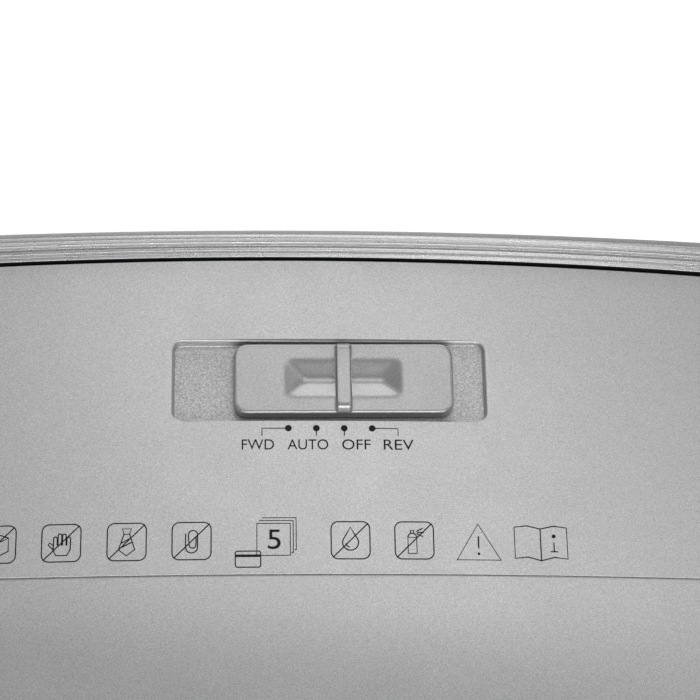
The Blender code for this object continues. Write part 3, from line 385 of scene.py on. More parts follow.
SILVER = silver_paint("silver_paint", 1.0, 0.40)
SILVER_GUIDE = silver_paint("silver_guide", 0.8, 0.27, 0.55)
SILVER_RECESS = silver_paint("silver_recess", 4.0, 0.44, 0.54, 0.34, 3000)
SILVER_KNOB = silver_paint("silver_knob", 0.8, 0.36, 0.43)
CHARCOAL = moulded_plastic("charcoal_plastic", (0.030, 0.031, 0.033), 0.52)
BLACK = moulded_plastic("black_plastic", (0.010, 0.010, 0.011), 0.48, 1800, 0.15)
RUBBER = moulded_plastic("rubber", (0.018, 0.018, 0.018), 0.82, 900, 0.3)
NYLON = moulded_plastic("white_nylon", (0.70, 0.68, 0.62), 0.42, 500, 0.06)
BLADE = worked_metal("blade_steel", (0.40, 0.40, 0.41), 0.30, (40, 1, 1))
ZINC = worked_metal("zinc_plate", (0.53, 0.54, 0.52), 0.36, (1, 1, 12))
BRONZE = worked_metal("sintered_bronze", (0.42, 0.28, 0.14), 0.46, (1, 1, 1), 2500)
BOARD = moulded_plastic("circuit_board", (0.02, 0.13, 0.06), 0.38, 300, 0.1)


def print_ink():
    made, tree, shader = new_material("print_ink", (0.006, 0.006, 0.006), 0.5)
    shader.inputs["Specular IOR Level"].default_value = 0.2
    edge = noise_node(tree, 9000, 2.0)
    vary_roughness(tree, shader, edge.outputs["Fac"], 0.38, 0.58)
    vary_colour(tree, shader, edge.outputs["Fac"], (0.004, 0.004, 0.004), (0.012, 0.012, 0.012))
    return made


INK = print_ink()

NODE_FINISH = {
    "silver_paint": SILVER, "charcoal_plastic": CHARCOAL, "black_plastic": BLACK, "blade_steel": BLADE,
    "zinc_plate": ZINC, "sintered_bronze": BRONZE, "white_nylon": NYLON, "rubber": RUBBER,
    "circuit_board": BOARD,
}


def finish_cad_nodes():
    """Gives each CAD node the detailed finish of its slot in the record."""
    for part in frame["record"]["subparts"]:
        node = frame["nodes"][part["node"]]
        node.data.materials.clear()
        node.data.materials.append(NODE_FINISH[part["material_slot"]])


finish_cad_nodes()


# ---- Control panel ----

def recess_cutter():
    """The pocket's shape, flaring at its top so that the panel's edge rolls into it."""
    width = RECESS_RIGHT - RECESS_LEFT
    depth = KNOB_DEPTH + 2 * KNOB_SIDE_GAP
    middle = (RECESS_LEFT + RECESS_RIGHT) / 2
    foot = 0.00035
    roll = 0.00040
    clear = 0.00012
    above = 0.002
    levels = []
    for step in range(5):
        angle = math.pi / 2 * step / 4
        levels.append((-foot * (1 - math.sin(angle)), -RECESS_DEPTH + foot * (1 - math.cos(angle))))
    for step in range(6):
        angle = math.pi / 2 * step / 5
        levels.append((clear + roll * (1 - math.cos(angle)), -roll * (1 - math.sin(angle))))
    levels.append((clear + roll, above))
    rings = []
    for grow, out in levels:
        outline = rounded_outline(width + 2 * grow, depth + 2 * grow, RECESS_CORNER + grow, 10)
        rings.append([(middle + x, KNOB_MID + y, out) for x, y in outline])
    return loft("pocket", rings)


NEAR = 1e-6
FRONT_ROLL = 0.00020
REAR_ROLL = 0.00018
LEDGE_DROP = 0.00055
LEDGE_DEPTH = 0.0014
LEDGE_THICKNESS = 0.0012
LEDGE_INSET = 0.0003
STEM_SLOT_HALF = 0.0025
STEM_SLOT_LEFT = 0.0151
STEM_SLOT_RIGHT = 0.0098
BOSS_MARGIN = 0.002
BOSS_HALF = 0.0099
BOSS_LOW = -0.0043
BOSS_TOP = -0.00225
POCKET_MARGIN = 0.0001
POCKET_HALF = 0.0081
POCKET_FLOOR_HALF = 0.0079
POCKET_FLOOR_TOP = -0.0012
ARCHED_SKIN = 0.00045
FLATTEN_END = 0.0008
# Depth below the panel's surface past which faces down in the gap are made black, as painted shade
GAP_SHADE_DEPTH = 0.0003
GAP_FACE_REACH = 0.012


def make_control_panel():
    """A grid, thickened, edge-rolled and pocketed while flat, then arched."""
    front = -PANEL_LENGTH + SEAM / 2
    panel = start_grid("control_panel_face", 138, 32, PANEL_WIDTH, -front)
    move_mesh(panel, (0, front / 2, 0))
    thicken_down(panel, PANEL_THICKNESS)

    def on_rim(a, b, y):
        level = max(abs(a.z), abs(b.z)) < NEAR
        return level and abs(a.y - y) < NEAR and abs(b.y - y) < NEAR

    bevel_edges(panel, lambda a, b: on_rim(a, b, front), FRONT_ROLL, 4)
    bevel_edges(panel, lambda a, b: on_rim(a, b, 0.0), REAR_ROLL, 4)
    ledge = start_grid("front_ledge", 137, 1, PANEL_WIDTH - 2 * LEDGE_INSET, LEDGE_DEPTH)
    move_mesh(ledge, (0, front + LEDGE_INSET, -LEDGE_DROP))
    thicken_down(ledge, LEDGE_THICKNESS)
    combine(panel, ledge, "UNION")
    stem_slot = start_cube(
        "stem_slot", (KNOB_X - STEM_SLOT_LEFT, KNOB_MID - STEM_SLOT_HALF, -0.02),
        (KNOB_X + STEM_SLOT_RIGHT, KNOB_MID + STEM_SLOT_HALF, 0.01))
    boss = start_cube(
        "boss", (RECESS_LEFT - BOSS_MARGIN, KNOB_MID - BOSS_HALF, BOSS_LOW),
        (RECESS_RIGHT + BOSS_MARGIN, KNOB_MID + BOSS_HALF, BOSS_TOP))
    combine(panel, boss, "UNION")
    combine(panel, recess_cutter(), "DIFFERENCE")
    combine(panel, stem_slot, "DIFFERENCE")
    for vertex in panel.data.vertices:
        x, along, out = vertex.co
        reach = min(max((along + BOW_REACH) / BOW_REACH, 0.0), 1.0)
        reach = reach * reach * (3 - 2 * reach)
        arched = on_arch(x, along - bow(x) * reach, out)
        inside = (RECESS_LEFT - POCKET_MARGIN < x < RECESS_RIGHT + POCKET_MARGIN
                  and abs(along - KNOB_MID) < POCKET_HALF)
        if inside and out < -ARCHED_SKIN:
            hold = min((-out - ARCHED_SKIN) / (RECESS_DEPTH - FLATTEN_END), 1.0)
            arched.z += arch_drop(x, arched.y) * hold
        vertex.co = arched
    smooth(panel, 40, True)
    finish_piece(panel, "shredder_head", SILVER, "silver_paint", "control_panel")
    panel.data.materials.append(SILVER_RECESS)
    panel.data.materials.append(BLACK)
    flat = panel_frame().inverted()
    # Faces of the panel's rear edge down in the gap get black plastic as painted shade, to darken the slit
    for face in panel.data.polygons:
        local = flat @ face.center
        lifted = flat @ (face.center + Vector((0, 0, arch_drop(face.center.x, face.center.y))))
        in_gap = face.normal.y > 0.6 and face.center.y > LIP_Y - GAP_FACE_REACH
        if in_gap and lifted.z < -GAP_SHADE_DEPTH:
            face.material_index = 2
        inside = RECESS_LEFT < local.x < RECESS_RIGHT and abs(local.y - KNOB_MID) < POCKET_FLOOR_HALF
        if inside and local.z < POCKET_FLOOR_TOP and face.normal.z > 0.6:
            face.material_index = 1


# ---- Strips pulled through an outline ----

def pull_strip(name, columns, outline, closed):
    """A row of edges along X, one unit long, pulled point by point through an outline of (y, z)."""
    strip = start_grid(name, columns, 1, 1, 1)
    edit_edges(strip, lambda a, b: min(a.y, b.y) > 0)
    bpy.ops.mesh.delete(type="VERT")
    bpy.ops.mesh.select_all(action="SELECT")
    start = outline[0]
    bpy.ops.transform.translate(value=(0, start[0] + 0.5, start[1]))
    path = outline + [start] if closed else outline
    for before, after in zip(path, path[1:]):
        step = (0, after[0] - before[0], after[1] - before[1])
        bpy.ops.mesh.extrude_region_move(TRANSFORM_OT_translate={"value": step})
    bpy.ops.mesh.select_all(action="SELECT")
    bpy.ops.mesh.remove_doubles(threshold=0.000002)
    done()
    return strip


def close_ends(obj):
    """Caps the two ends of a closed strip."""
    take(obj)
    bpy.ops.object.mode_set(mode="EDIT")
    bpy.ops.mesh.select_all(action="SELECT")
    bpy.ops.mesh.fill_holes(sides=0)
    face_outward()
    done()


def arc_points(centre, radius, start, end, steps):
    """Points on an arc, given in degrees."""
    return [
        (centre[0] + radius * math.cos(math.radians(start + (end - start) * i / steps)),
         centre[1] + radius * math.sin(math.radians(start + (end - start) * i / steps)))
        for i in range(steps + 1)
    ]


# ---- Ribbed paper guide ----

SHADOW_GAP = 0.0006
GUIDE_SKIRT = 0.010
GUIDE_HEIGHT = 0.0044
GUIDE_FOOT_ROLL = 0.00018
GUIDE_BACK_OVERRUN = 0.0008

# Arcs in the guide's section as (centre, radius, start angle, end angle, steps), front to back
FIRST_RIB = (
    ((0.00120, 0.00052), 0.00014, 270, 345, 3),
    ((0.00164, 0.00126), 0.00020, 170, 95, 4),
)
FINE_GROOVE = [(0.00205, 0.00150), (0.00210, 0.00138), (0.00216, 0.00150)]
UPPER_RIBS_AND_CREST = (
    ((0.00236, 0.00172), 0.00014, 270, 345, 3),
    ((0.00270, 0.00248), 0.00016, 170, 100, 3),
    ((0.00276, 0.00280), 0.00010, 270, 345, 2),
    ((0.00310, 0.00342), 0.00016, 170, 100, 4),
    ((0.00376, 0.00338), 0.00026, 95, 46, 5),
    ((0.00500, 0.00258), 0.00018, 46, 5, 4),
)


def guide_outline():
    """Front foot and low ledge, three treads with steep risers between them, crest and back."""
    back = (SLOT_FRONT_Y - LIP_Y) / math.cos(PANEL_SLOPE) + GUIDE_BACK_OVERRUN
    roll = GUIDE_FOOT_ROLL
    outline = [(SHADOW_GAP, -GUIDE_SKIRT), (SHADOW_GAP, 0.00010)]
    outline += arc_points((SHADOW_GAP + roll, roll), roll, 180, 90, 4)
    for arc in FIRST_RIB:
        outline += arc_points(*arc)
    outline += FINE_GROOVE
    for arc in UPPER_RIBS_AND_CREST:
        outline += arc_points(*arc)
    outline += [(back, 0.0010), (back, -GUIDE_SKIRT)]
    return outline


def make_paper_guide():
    """One edge pulled up step by step through the three ribs, then arched along its length."""
    guide = pull_strip("paper_guide_ribs", 92, guide_outline(), True)
    close_ends(guide)
    for vertex in guide.data.vertices:
        unit, along, out = vertex.co
        x = unit * PANEL_WIDTH
        y, z = in_section(along, out)
        if out < 0:
            y = LIP_Y + along * math.cos(PANEL_SLOPE)
        hold = min(max((y - LIP_Y) / (SLOT_FRONT_Y - LIP_Y), 0.0), 1.0)
        vertex.co = (x, min(y - bow(x) * (1 - hold), SLOT_FRONT_Y), z - arch_drop(x, LIP_Y))
    smooth(guide, 30)
    finish_piece(guide, "shredder_head", SILVER_GUIDE, "silver_paint", "paper_guide")
    # Guide faces below the panel's level, down in the gap, get black plastic as painted shade, to darken the
    # slit
    guide.data.materials.append(BLACK)
    flat = panel_frame().inverted()
    for face in guide.data.polygons:
        x, y, z = face.center
        gap_shaded = (flat @ Vector((x, y, z + arch_drop(x, LIP_Y)))).z < -GAP_SHADE_DEPTH
        face.material_index = 1 if gap_shaded else 0


# ---- Top cover ----

HEAD_WIDTH = 0.320
HEAD_DEPTH = 0.170
HEAD_CORNER = 0.028
HEAD_EDGE = 0.008
WALL = 0.0025
REVEAL = 0.002
GAP = 0.0003
BIN_HEIGHT = 0.250
HOUSING_HEIGHT = 0.036
SPLIT_Z = BIN_HEIGHT + HOUSING_HEIGHT
SLOT_BACK_Y = SLOT_FRONT_Y + 0.0055
WINDOW_BACK_Y = SLOT_BACK_Y + 0.0018 + GAP
REAR_EDGE_Z = LIP_Z + GUIDE_HEIGHT - 0.0120
ARCH_FADE = 0.042
WINDOW_HALF = PANEL_WIDTH / 2 + SEAM / 2
NOSE_LOW = 0.016
NOSE_HIGH = 0.036
NOSE_PULL = 0.030
SKIRT_TOP = 0.006
REAR_NOTCH = 0.0035


def curve_points(a, b, c, d, steps):
    """Points on a cubic curve from a to d."""
    points = []
    for step in range(steps + 1):
        t = step / steps
        s = 1 - t
        points.append(tuple(
            s ** 3 * a[i] + 3 * s * s * t * b[i] + 3 * s * t * t * c[i] + t ** 3 * d[i] for i in range(2)))
    return points


def cover_outline():
    """The cover in section at its middle, front bottom to rear bottom."""
    half = HEAD_DEPTH / 2
    low = SPLIT_Z + GAP
    nose_low = (-half, SPLIT_Z + NOSE_LOW)
    lip_front = in_section(-PANEL_LENGTH - SEAM / 2, 0)
    pull = in_section(-PANEL_LENGTH - NOSE_PULL, 0)
    outline = [(-half, low), (-half, low + SKIRT_TOP)]
    outline += curve_points(nose_low, (-half, SPLIT_Z + NOSE_HIGH), pull, lip_front, 22)
    outline += [in_section(-PANEL_LENGTH * share, 0) for share in (0.75, 0.5, 0.25, 0.08, 0.02)]
    crest_front = in_section(0.0035, GUIDE_HEIGHT - 0.0006)
    crest_back = (SLOT_FRONT_Y, LIP_Z + GUIDE_HEIGHT - 0.0004)
    outline += curve_points(
        in_section(0.0006, 0.0002), in_section(0.0018, 0.0040), crest_front, crest_back, 8)
    outline += curve_points(
        (SLOT_FRONT_Y + 0.0007, crest_back[1] - 0.0004), (SLOT_FRONT_Y + 0.0020, crest_back[1] - 0.0016),
        (WINDOW_BACK_Y - 0.0010, REAR_EDGE_Z + 0.0016), (WINDOW_BACK_Y, REAR_EDGE_Z), 5)
    rear = (half - REVEAL, SPLIT_Z + SKIRT_TOP)
    rear_steps = 12
    for step in range(1, rear_steps + 1):
        share = step / rear_steps
        outline.append((
            WINDOW_BACK_Y + (rear[0] - WINDOW_BACK_Y) * share,
            REAR_EDGE_Z + (rear[1] - REAR_EDGE_Z) * share,
        ))
    outline += [(half, SPLIT_Z + REAR_NOTCH), (half, low)]
    return outline


def head_columns():
    """X places across the head, closer together where its ends round off."""
    straight = HEAD_WIDTH / 2 - HEAD_CORNER
    ends = [straight + 0.0031, WINDOW_HALF]
    for angle in (19, 25, 31, 37, 43, 48):
        ends.append(straight + HEAD_CORNER * math.sin(math.radians(angle)))
    for angle in (8, 20, 32, 44, 56, 68, 80, 90):
        ends.append(HEAD_WIDTH / 2 - HEAD_EDGE * (1 - math.sin(math.radians(angle))))
    middle_steps = 48
    middle = [-straight + 2 * straight * i / middle_steps for i in range(middle_steps + 1)]
    return [-x for x in reversed(ends)] + middle + ends


def make_top_cover():
    """A sheet pulled over the head's section, shaped to its arch and corners, opened, and given its wall.

    The CAD's screw bosses are not modelled here.
    """
    columns = head_columns()
    cover = pull_strip("top_cover_shell", len(columns) - 1, cover_outline(), False)
    half = HEAD_DEPTH / 2
    edge_x = HEAD_WIDTH / 2 - HEAD_EDGE
    corner_x = HEAD_WIDTH / 2 - HEAD_CORNER
    for vertex in cover.data.vertices:
        unit, y, z = vertex.co
        x = columns[round((unit + 0.5) * (len(columns) - 1))]
        over_edge = max(abs(x) - edge_x, 0.0)
        edge_drop = HEAD_EDGE - math.sqrt(max(HEAD_EDGE ** 2 - over_edge ** 2, 0.0))
        over_corner = max(abs(x) - corner_x, 0.0)
        inset = HEAD_CORNER - math.sqrt(max(HEAD_CORNER ** 2 - over_corner ** 2, 0.0))
        line = LIP_Z + (y - LIP_Y) * (REAR_EDGE_Z - LIP_Z) / (WINDOW_BACK_Y - LIP_Y)
        if LIP_Y < y < WINDOW_BACK_Y and z > line:
            fade = min(max((edge_x - abs(x)) / (edge_x - WINDOW_HALF), 0), 1)
            z = line + (z - line) * fade * fade * (3 - 2 * fade)
        share = min(max((z - SPLIT_Z) / ARCH_FADE, 0.0), 1.0)
        share = share * share * (3 - 2 * share)
        shift = bow(x) if LIP_Y - 0.001 < y < SLOT_FRONT_Y - 0.0005 else 0.0
        drop = (arch_drop(x, y) + edge_drop) * share
        pull = inset * (abs(y) / half) ** 3
        vertex.co = (x, y - shift - math.copysign(pull, y), z - drop)
    front = SEAM_Y - SEAM
    edit_faces(cover, lambda centre, normal: abs(centre.x) < WINDOW_HALF and front < centre.y < WINDOW_BACK_Y)
    bpy.ops.mesh.delete(type="FACE")
    done()
    take(cover)
    bpy.ops.object.mode_set(mode="EDIT")
    bpy.ops.mesh.select_mode(type="EDGE")
    bm = bmesh.from_edit_mesh(cover.data)
    for side in (-1, 1):
        bpy.ops.mesh.select_all(action="DESELECT")
        for edge in bm.edges:
            ends = [v.co.x * side for v in edge.verts]
            edge.select_set(min(ends) > HEAD_WIDTH / 2 - NEAR)
        bmesh.update_edit_mesh(cover.data)
        bpy.ops.mesh.edge_face_add()
    done()
    take(cover)
    bpy.ops.object.mode_set(mode="EDIT")
    face_outward()
    done()
    apply_modifier(cover, "SOLIDIFY", thickness=WALL, offset=-1.0, use_quality_normals=True)
    apply_modifier(
        cover, "BEVEL", width=0.00022, segments=3, limit_method="ANGLE", angle_limit=math.radians(60),
        harden_normals=False)
    smooth(cover, 40, True)
    finish_piece(cover, "shredder_head", SILVER, "silver_paint", "top_cover")


# ---- Finger knob ----

KNOB_LIFT = 0.0003
KNOB_TOP_ROLL = 0.00045
DISH_HALF_LENGTH = 0.01125
DISH_HALF_DEPTH = 0.00385
DISH_DEPTH = 0.0014
DISH_OVERCUT = 0.0010
RIDGE_HALF = 0.00130
RIDGE_HEIGHT = 0.0014
RIDGE_ROLL = 0.0015
STEM_HALF_LENGTH = 0.004
STEM_HALF_DEPTH = 0.002
STEM_LOW = -0.0055
VOXEL = 0.00020
SOFT_NEAR_X = 0.0019
SOFT_FAR_X = 0.0127
SOFT_HALF_DEPTH = 0.0054
SOFT_BELOW = 0.0016
SOFT_ABOVE = 0.0001


def make_slider_knob():
    """A plate with a ridge across it and a hipped finger dish, its edges softened by the paint."""
    base = -RECESS_DEPTH + KNOB_LIFT
    top = -RECESS_DEPTH + KNOB_HEIGHT
    half = KNOB_DEPTH / 2
    knob = start_cube(
        "finger_knob", (KNOB_X - KNOB_LENGTH / 2, KNOB_MID - half, base),
        (KNOB_X + KNOB_LENGTH / 2, KNOB_MID + half, top))
    bevel_edges(knob, lambda a, b: abs(a.z - b.z) > 0.001, KNOB_CORNER, 8)
    bevel_edges(knob, lambda a, b: min(a.z, b.z) > top - NEAR, KNOB_TOP_ROLL, 3)
    dish = start_cube(
        "dish", (KNOB_X - DISH_HALF_LENGTH, KNOB_MID - DISH_HALF_DEPTH, top - DISH_DEPTH),
        (KNOB_X + DISH_HALF_LENGTH, KNOB_MID + DISH_HALF_DEPTH, top + DISH_OVERCUT))
    edit_faces(dish, lambda centre, normal: normal.z < -0.9)
    bpy.ops.transform.resize(value=(0.66, 0.10, 1), center_override=(KNOB_X, KNOB_MID, 0))
    done()
    edit_faces(dish, lambda centre, normal: normal.z > 0.9)
    bpy.ops.transform.resize(value=(1.24, 1.64, 1), center_override=(KNOB_X, KNOB_MID, 0))
    done()
    combine(knob, dish, "DIFFERENCE")
    ridge_top = top + RIDGE_HEIGHT
    ridge = start_cube(
        "ridge", (KNOB_X - RIDGE_HALF, KNOB_MID - half + 0.0001, base + 0.0002),
        (KNOB_X + RIDGE_HALF, KNOB_MID + half - 0.0001, ridge_top))

    def at_ridge_end(a, b):
        return min(a.z, b.z) > ridge_top - NEAR and abs(a.y - b.y) < NEAR and abs(a.x - b.x) > 0.001

    bevel_edges(ridge, at_ridge_end, RIDGE_ROLL, 6)
    combine(knob, ridge, "UNION")
    stem = start_cube(
        "stem", (KNOB_X - STEM_HALF_LENGTH, KNOB_MID - STEM_HALF_DEPTH, STEM_LOW),
        (KNOB_X + STEM_HALF_LENGTH, KNOB_MID + STEM_HALF_DEPTH, base + 0.001))
    combine(knob, stem, "UNION")
    apply_modifier(knob, "REMESH", mode="VOXEL", voxel_size=VOXEL)
    apply_modifier(knob, "SMOOTH", factor=0.5, iterations=7)
    edit_faces(
        knob, lambda centre, normal: SOFT_NEAR_X < abs(centre.x - KNOB_X) < SOFT_FAR_X
        and abs(centre.y - KNOB_MID) < SOFT_HALF_DEPTH and top - SOFT_BELOW < centre.z < top + SOFT_ABOVE)
    bpy.ops.mesh.vertices_smooth(factor=0.5, repeat=40)
    done()
    knob.data.transform(panel_frame())
    take(knob)
    bpy.ops.object.shade_smooth()
    finish_piece(knob, "switch_slider", SILVER_KNOB, "silver_paint", "slider_knob")


# ---- Lower housing, bin and feet ----

BIN_WIDTH = 0.300
BIN_DEPTH = 0.150
BIN_TAPER = 0.012
BIN_CORNER = 0.024
BIN_WALL = 0.0022
BIN_FLANGE = 0.003
FOOT_HEIGHT = 0.006
FOOT_RADIUS = 0.009
FOOT_INSET_X = 0.026
FOOT_INSET_Y = 0.022
RIM_DEPTH = 0.008
SLIDE_GAP = 0.0005
GLAND_X = -0.105
GLAND_RISE = 0.018
GLAND_RADIUS = 0.0065
GLAND_BORE = 0.0035
RIM_STEP = 0.0012
OUTLET_HALF = 0.114
# Given here; the CAD's own outlet runs from 7.25 to 65.25 mm
OUTLET_FRONT_Y = -0.0165
OUTLET_REAR_Y = 0.0610
OVERCUT = 0.02
BIN_FOOT_ROLL = 0.010
BIN_FOOT_RISE = 0.005
FLANGE_RISE = 0.003
BIN_FLOOR_ROLL = 0.008
BIN_FLOOR_RISE = 0.006
FOOT_ROLL = 0.0010
FOOT_RING = 0.0022
FOOT_HOLLOW = 0.0008
GLAND_INWARD = 0.004
GLAND_LIP = 0.0006


def make_tub(name, corner, levels):
    """A rounded block whose top is drawn up, stepped and sunk through levels of (width, depth, z)."""
    width, depth, low = levels[0]
    first = levels[1]
    tub = start_cube(name, (-width / 2, -depth / 2, low), (width / 2, depth / 2, first[2]))
    bevel_edges(tub, lambda a, b: abs(a.z - b.z) > 1e-4, corner, 12)
    edit_faces(tub, lambda centre, normal: normal.z > 0.9)
    bpy.ops.transform.resize(value=(first[0] / width, first[1] / depth, 1), center_override=(0, 0, 0))
    for before, after in zip(levels[1:], levels[2:]):
        bpy.ops.mesh.extrude_region_move(TRANSFORM_OT_translate={"value": (0, 0, after[2] - before[2])})
        bpy.ops.transform.resize(
            value=(after[0] / before[0], after[1] / before[1], 1), center_override=(0, 0, 0))
    done()
    return tub


def soften_tub(tub, width):
    apply_modifier(
        tub, "BEVEL", width=width, segments=3, limit_method="ANGLE", angle_limit=math.radians(28),
        harden_normals=False)
    smooth(tub, 40, True)


def make_lower_housing():
    """The dark tray under the head, open at the top, with its shred outlet and the cord's hole.

    The CAD's screw pillars, screw holes and counterbores are not modelled here.
    """
    wide = HEAD_WIDTH - 2 * REVEAL
    deep = HEAD_DEPTH - 2 * REVEAL
    low = BIN_HEIGHT + GAP
    inner_wide = BIN_WIDTH - 2 * BIN_WALL - 2 * SLIDE_GAP
    inner_deep = BIN_DEPTH - 2 * BIN_WALL - 2 * SLIDE_GAP
    levels = [
        (inner_wide, inner_deep, low - RIM_DEPTH), (inner_wide, inner_deep, low), (wide, deep, low + 0.0001),
        (wide, deep, SPLIT_Z - RIM_STEP), (wide - RIM_STEP, deep - RIM_STEP, SPLIT_Z - RIM_STEP),
        (wide - RIM_STEP, deep - RIM_STEP, SPLIT_Z), (wide - 2 * WALL, deep - 2 * WALL, SPLIT_Z),
        (wide - 2 * WALL, deep - 2 * WALL, low + WALL),
    ]
    housing = make_tub("lower_housing_tray", BIN_CORNER - BIN_WALL, levels)
    hollow = start_cube(
        "under_hollow", (WALL - inner_wide / 2, WALL - inner_deep / 2, low - OVERCUT),
        (inner_wide / 2 - WALL, inner_deep / 2 - WALL, low + WALL / 2))
    bevel_edges(hollow, lambda a, b: abs(a.z - b.z) > 0.001, BIN_CORNER - BIN_WALL - WALL, 8)
    combine(housing, hollow, "DIFFERENCE")
    outlet = start_cube(
        "shred_outlet", (-OUTLET_HALF, OUTLET_FRONT_Y, low - OVERCUT),
        (OUTLET_HALF, OUTLET_REAR_Y, low + OVERCUT))
    combine(housing, outlet, "DIFFERENCE")
    gland_hole = start_cylinder(
        "gland_hole", (GLAND_X, deep / 2, BIN_HEIGHT + GLAND_RISE), GLAND_RADIUS + GAP, 0.02, "Y")
    combine(housing, gland_hole, "DIFFERENCE")
    soften_tub(housing, 0.0004)
    finish_piece(housing, "shredder_head", CHARCOAL, "charcoal_plastic", "lower_housing")


def make_waste_bin():
    """A tapered tub with a rolled foot and a flanged rim."""
    low = FOOT_HEIGHT + GAP
    flange = BIN_HEIGHT - RIM_DEPTH
    small_wide = BIN_WIDTH - 2 * BIN_TAPER
    small_deep = BIN_DEPTH - 2 * BIN_TAPER
    brim_wide = BIN_WIDTH + 2 * BIN_FLANGE
    brim_deep = BIN_DEPTH + 2 * BIN_FLANGE
    thick = 2 * BIN_WALL
    levels = [(small_wide - BIN_FOOT_ROLL, small_deep - BIN_FOOT_ROLL, low)]
    for step in range(1, 5):
        angle = math.pi / 2 * step / 4
        inset = BIN_FOOT_ROLL * (1 - math.sin(angle))
        levels.append((small_wide - inset, small_deep - inset, low + BIN_FOOT_RISE * (1 - math.cos(angle))))
    levels += [
        (BIN_WIDTH, BIN_DEPTH, flange - FLANGE_RISE), (brim_wide, brim_deep, flange),
        (brim_wide, brim_deep, BIN_HEIGHT), (BIN_WIDTH - thick, BIN_DEPTH - thick, BIN_HEIGHT),
        (BIN_WIDTH - thick, BIN_DEPTH - thick, flange - FLANGE_RISE),
        (small_wide - thick, small_deep - thick, low + BIN_FLOOR_RISE),
        (small_wide - thick - BIN_FLOOR_ROLL, small_deep - thick - BIN_FLOOR_ROLL, low + BIN_WALL),
    ]
    tub = make_tub("waste_bin_tub", BIN_CORNER - 0.005, levels)
    soften_tub(tub, 0.0005)
    finish_piece(tub, "waste_bin", CHARCOAL, "charcoal_plastic", "waste_bin")


def make_feet():
    """Round rubber feet with a moulded ring underneath."""
    small_wide = BIN_WIDTH - 2 * BIN_TAPER
    small_deep = BIN_DEPTH - 2 * BIN_TAPER
    corners = (("front_left", -1, -1), ("front_right", 1, -1), ("rear_left", -1, 1), ("rear_right", 1, 1))
    for name, side, end in corners:
        x = side * (small_wide / 2 - FOOT_INSET_X)
        y = end * (small_deep / 2 - FOOT_INSET_Y)
        foot = start_cylinder(f"foot_{name}", (x, y, FOOT_HEIGHT / 2), FOOT_RADIUS, FOOT_HEIGHT, "Z", 40)
        bevel_edges(foot, lambda a, b: max(a.z, b.z) < 1e-5, FOOT_ROLL, 4)
        edit_faces(foot, lambda centre, normal: centre.z < 1e-5)
        bpy.ops.mesh.inset(thickness=FOOT_RING)
        bpy.ops.mesh.extrude_region_move(TRANSFORM_OT_translate={"value": (0, 0, FOOT_HOLLOW)})
        done()
        smooth(foot, 40, True)
        finish_piece(foot, "waste_bin", RUBBER, "rubber", f"bin_foot_{name}")


def make_cord_gland():
    """A rubber bush in the rear wall with a soft lip and a bore right through."""
    face = HEAD_DEPTH / 2 - REVEAL
    height = BIN_HEIGHT + GLAND_RISE
    inner = face - WALL - GLAND_INWARD
    outer = face + GLAND_LIP
    gland = start_cylinder(
        "gland_bush", (GLAND_X, (inner + outer) / 2, height), GLAND_RADIUS, outer - inner, "Y", 48)
    bore = start_cylinder("gland_bore", (GLAND_X, face, height), GLAND_BORE, 0.04, "Y", 36)
    combine(gland, bore, "DIFFERENCE")
    apply_modifier(
        gland, "BEVEL", width=0.0004, segments=3, limit_method="ANGLE", angle_limit=math.radians(50),
        harden_normals=False)
    smooth(gland, 40, True)
    finish_piece(gland, "shredder_head", RUBBER, "rubber", "cord_gland")


# ---- Printing on the panel ----

INK_THICKNESS = 0.00002
STROKE_FLATNESS = 0.12
WORD_EXTRUDE = 0.00001


def lay_print(obj, name):
    """Takes a flat drawing in the panel's own frame onto the arched panel, as a thin layer of ink."""
    obj.name = name
    for vertex in obj.data.vertices:
        vertex.co = on_arch(vertex.co.x, vertex.co.y, vertex.co.z + INK_THICKNESS)
    finish_piece(obj, "shredder_head", INK, "black_plastic")
    return obj


def stroke_pieces(strokes, width):
    """Flat strokes, each a list of points, drawn as thin bars with round joints."""
    data = bpy.data.curves.new("strokes", "CURVE")
    data.dimensions = "3D"
    data.bevel_depth = width / 2
    data.bevel_resolution = 1
    data.use_fill_caps = True
    for points, closed in strokes:
        spline = data.splines.new("POLY")
        spline.points.add(len(points) - 1)
        for knot, (x, y) in zip(spline.points, points):
            knot.co = (x, y, 0, 1)
        spline.use_cyclic_u = closed
    obj = bpy.data.objects.new("strokes", data)
    bpy.context.scene.collection.objects.link(obj)
    take(obj)
    bpy.ops.object.convert(target="MESH")
    obj = bpy.context.object
    obj.scale = (1, 1, STROKE_FLATNESS)
    place_in_mesh(obj)
    return obj


def disc(centre, radius):
    """A flat round dot of ink."""
    deselect()
    bpy.ops.mesh.primitive_cylinder_add(
        vertices=32, radius=radius, depth=INK_THICKNESS * 1.2, location=(*centre, 0))
    obj = bpy.context.object
    place_in_mesh(obj)
    return obj


def join(pieces):
    deselect()
    for piece in pieces:
        piece.select_set(True)
    bpy.context.view_layer.objects.active = pieces[0]
    if len(pieces) > 1:
        bpy.ops.object.join()
    return bpy.context.object


def word(text, x, along, height, width):
    """A printed word, its capitals of the given height and its whole width fitted."""
    deselect()
    bpy.ops.object.text_add(location=(0, 0, 0))
    obj = bpy.context.object
    obj.data.body = text
    obj.data.size = 1.0
    obj.data.align_x = "LEFT"
    obj.data.extrude = WORD_EXTRUDE
    take(obj)
    bpy.ops.object.convert(target="MESH")
    obj = bpy.context.object
    xs = [v.co.x for v in obj.data.vertices]
    ys = [v.co.y for v in obj.data.vertices]
    grow_x = width / (max(xs) - min(xs))
    grow_y = height / (max(ys) - min(ys))
    for vertex in obj.data.vertices:
        vertex.co.x = x + (vertex.co.x - min(xs)) * grow_x
        vertex.co.y = along + (vertex.co.y - min(ys)) * grow_y
        vertex.co.z = INK_THICKNESS * (0.5 if vertex.co.z > 0 else -0.5)
    return obj


DOT_RADIUS = 0.00064
LEADER = 0.00020


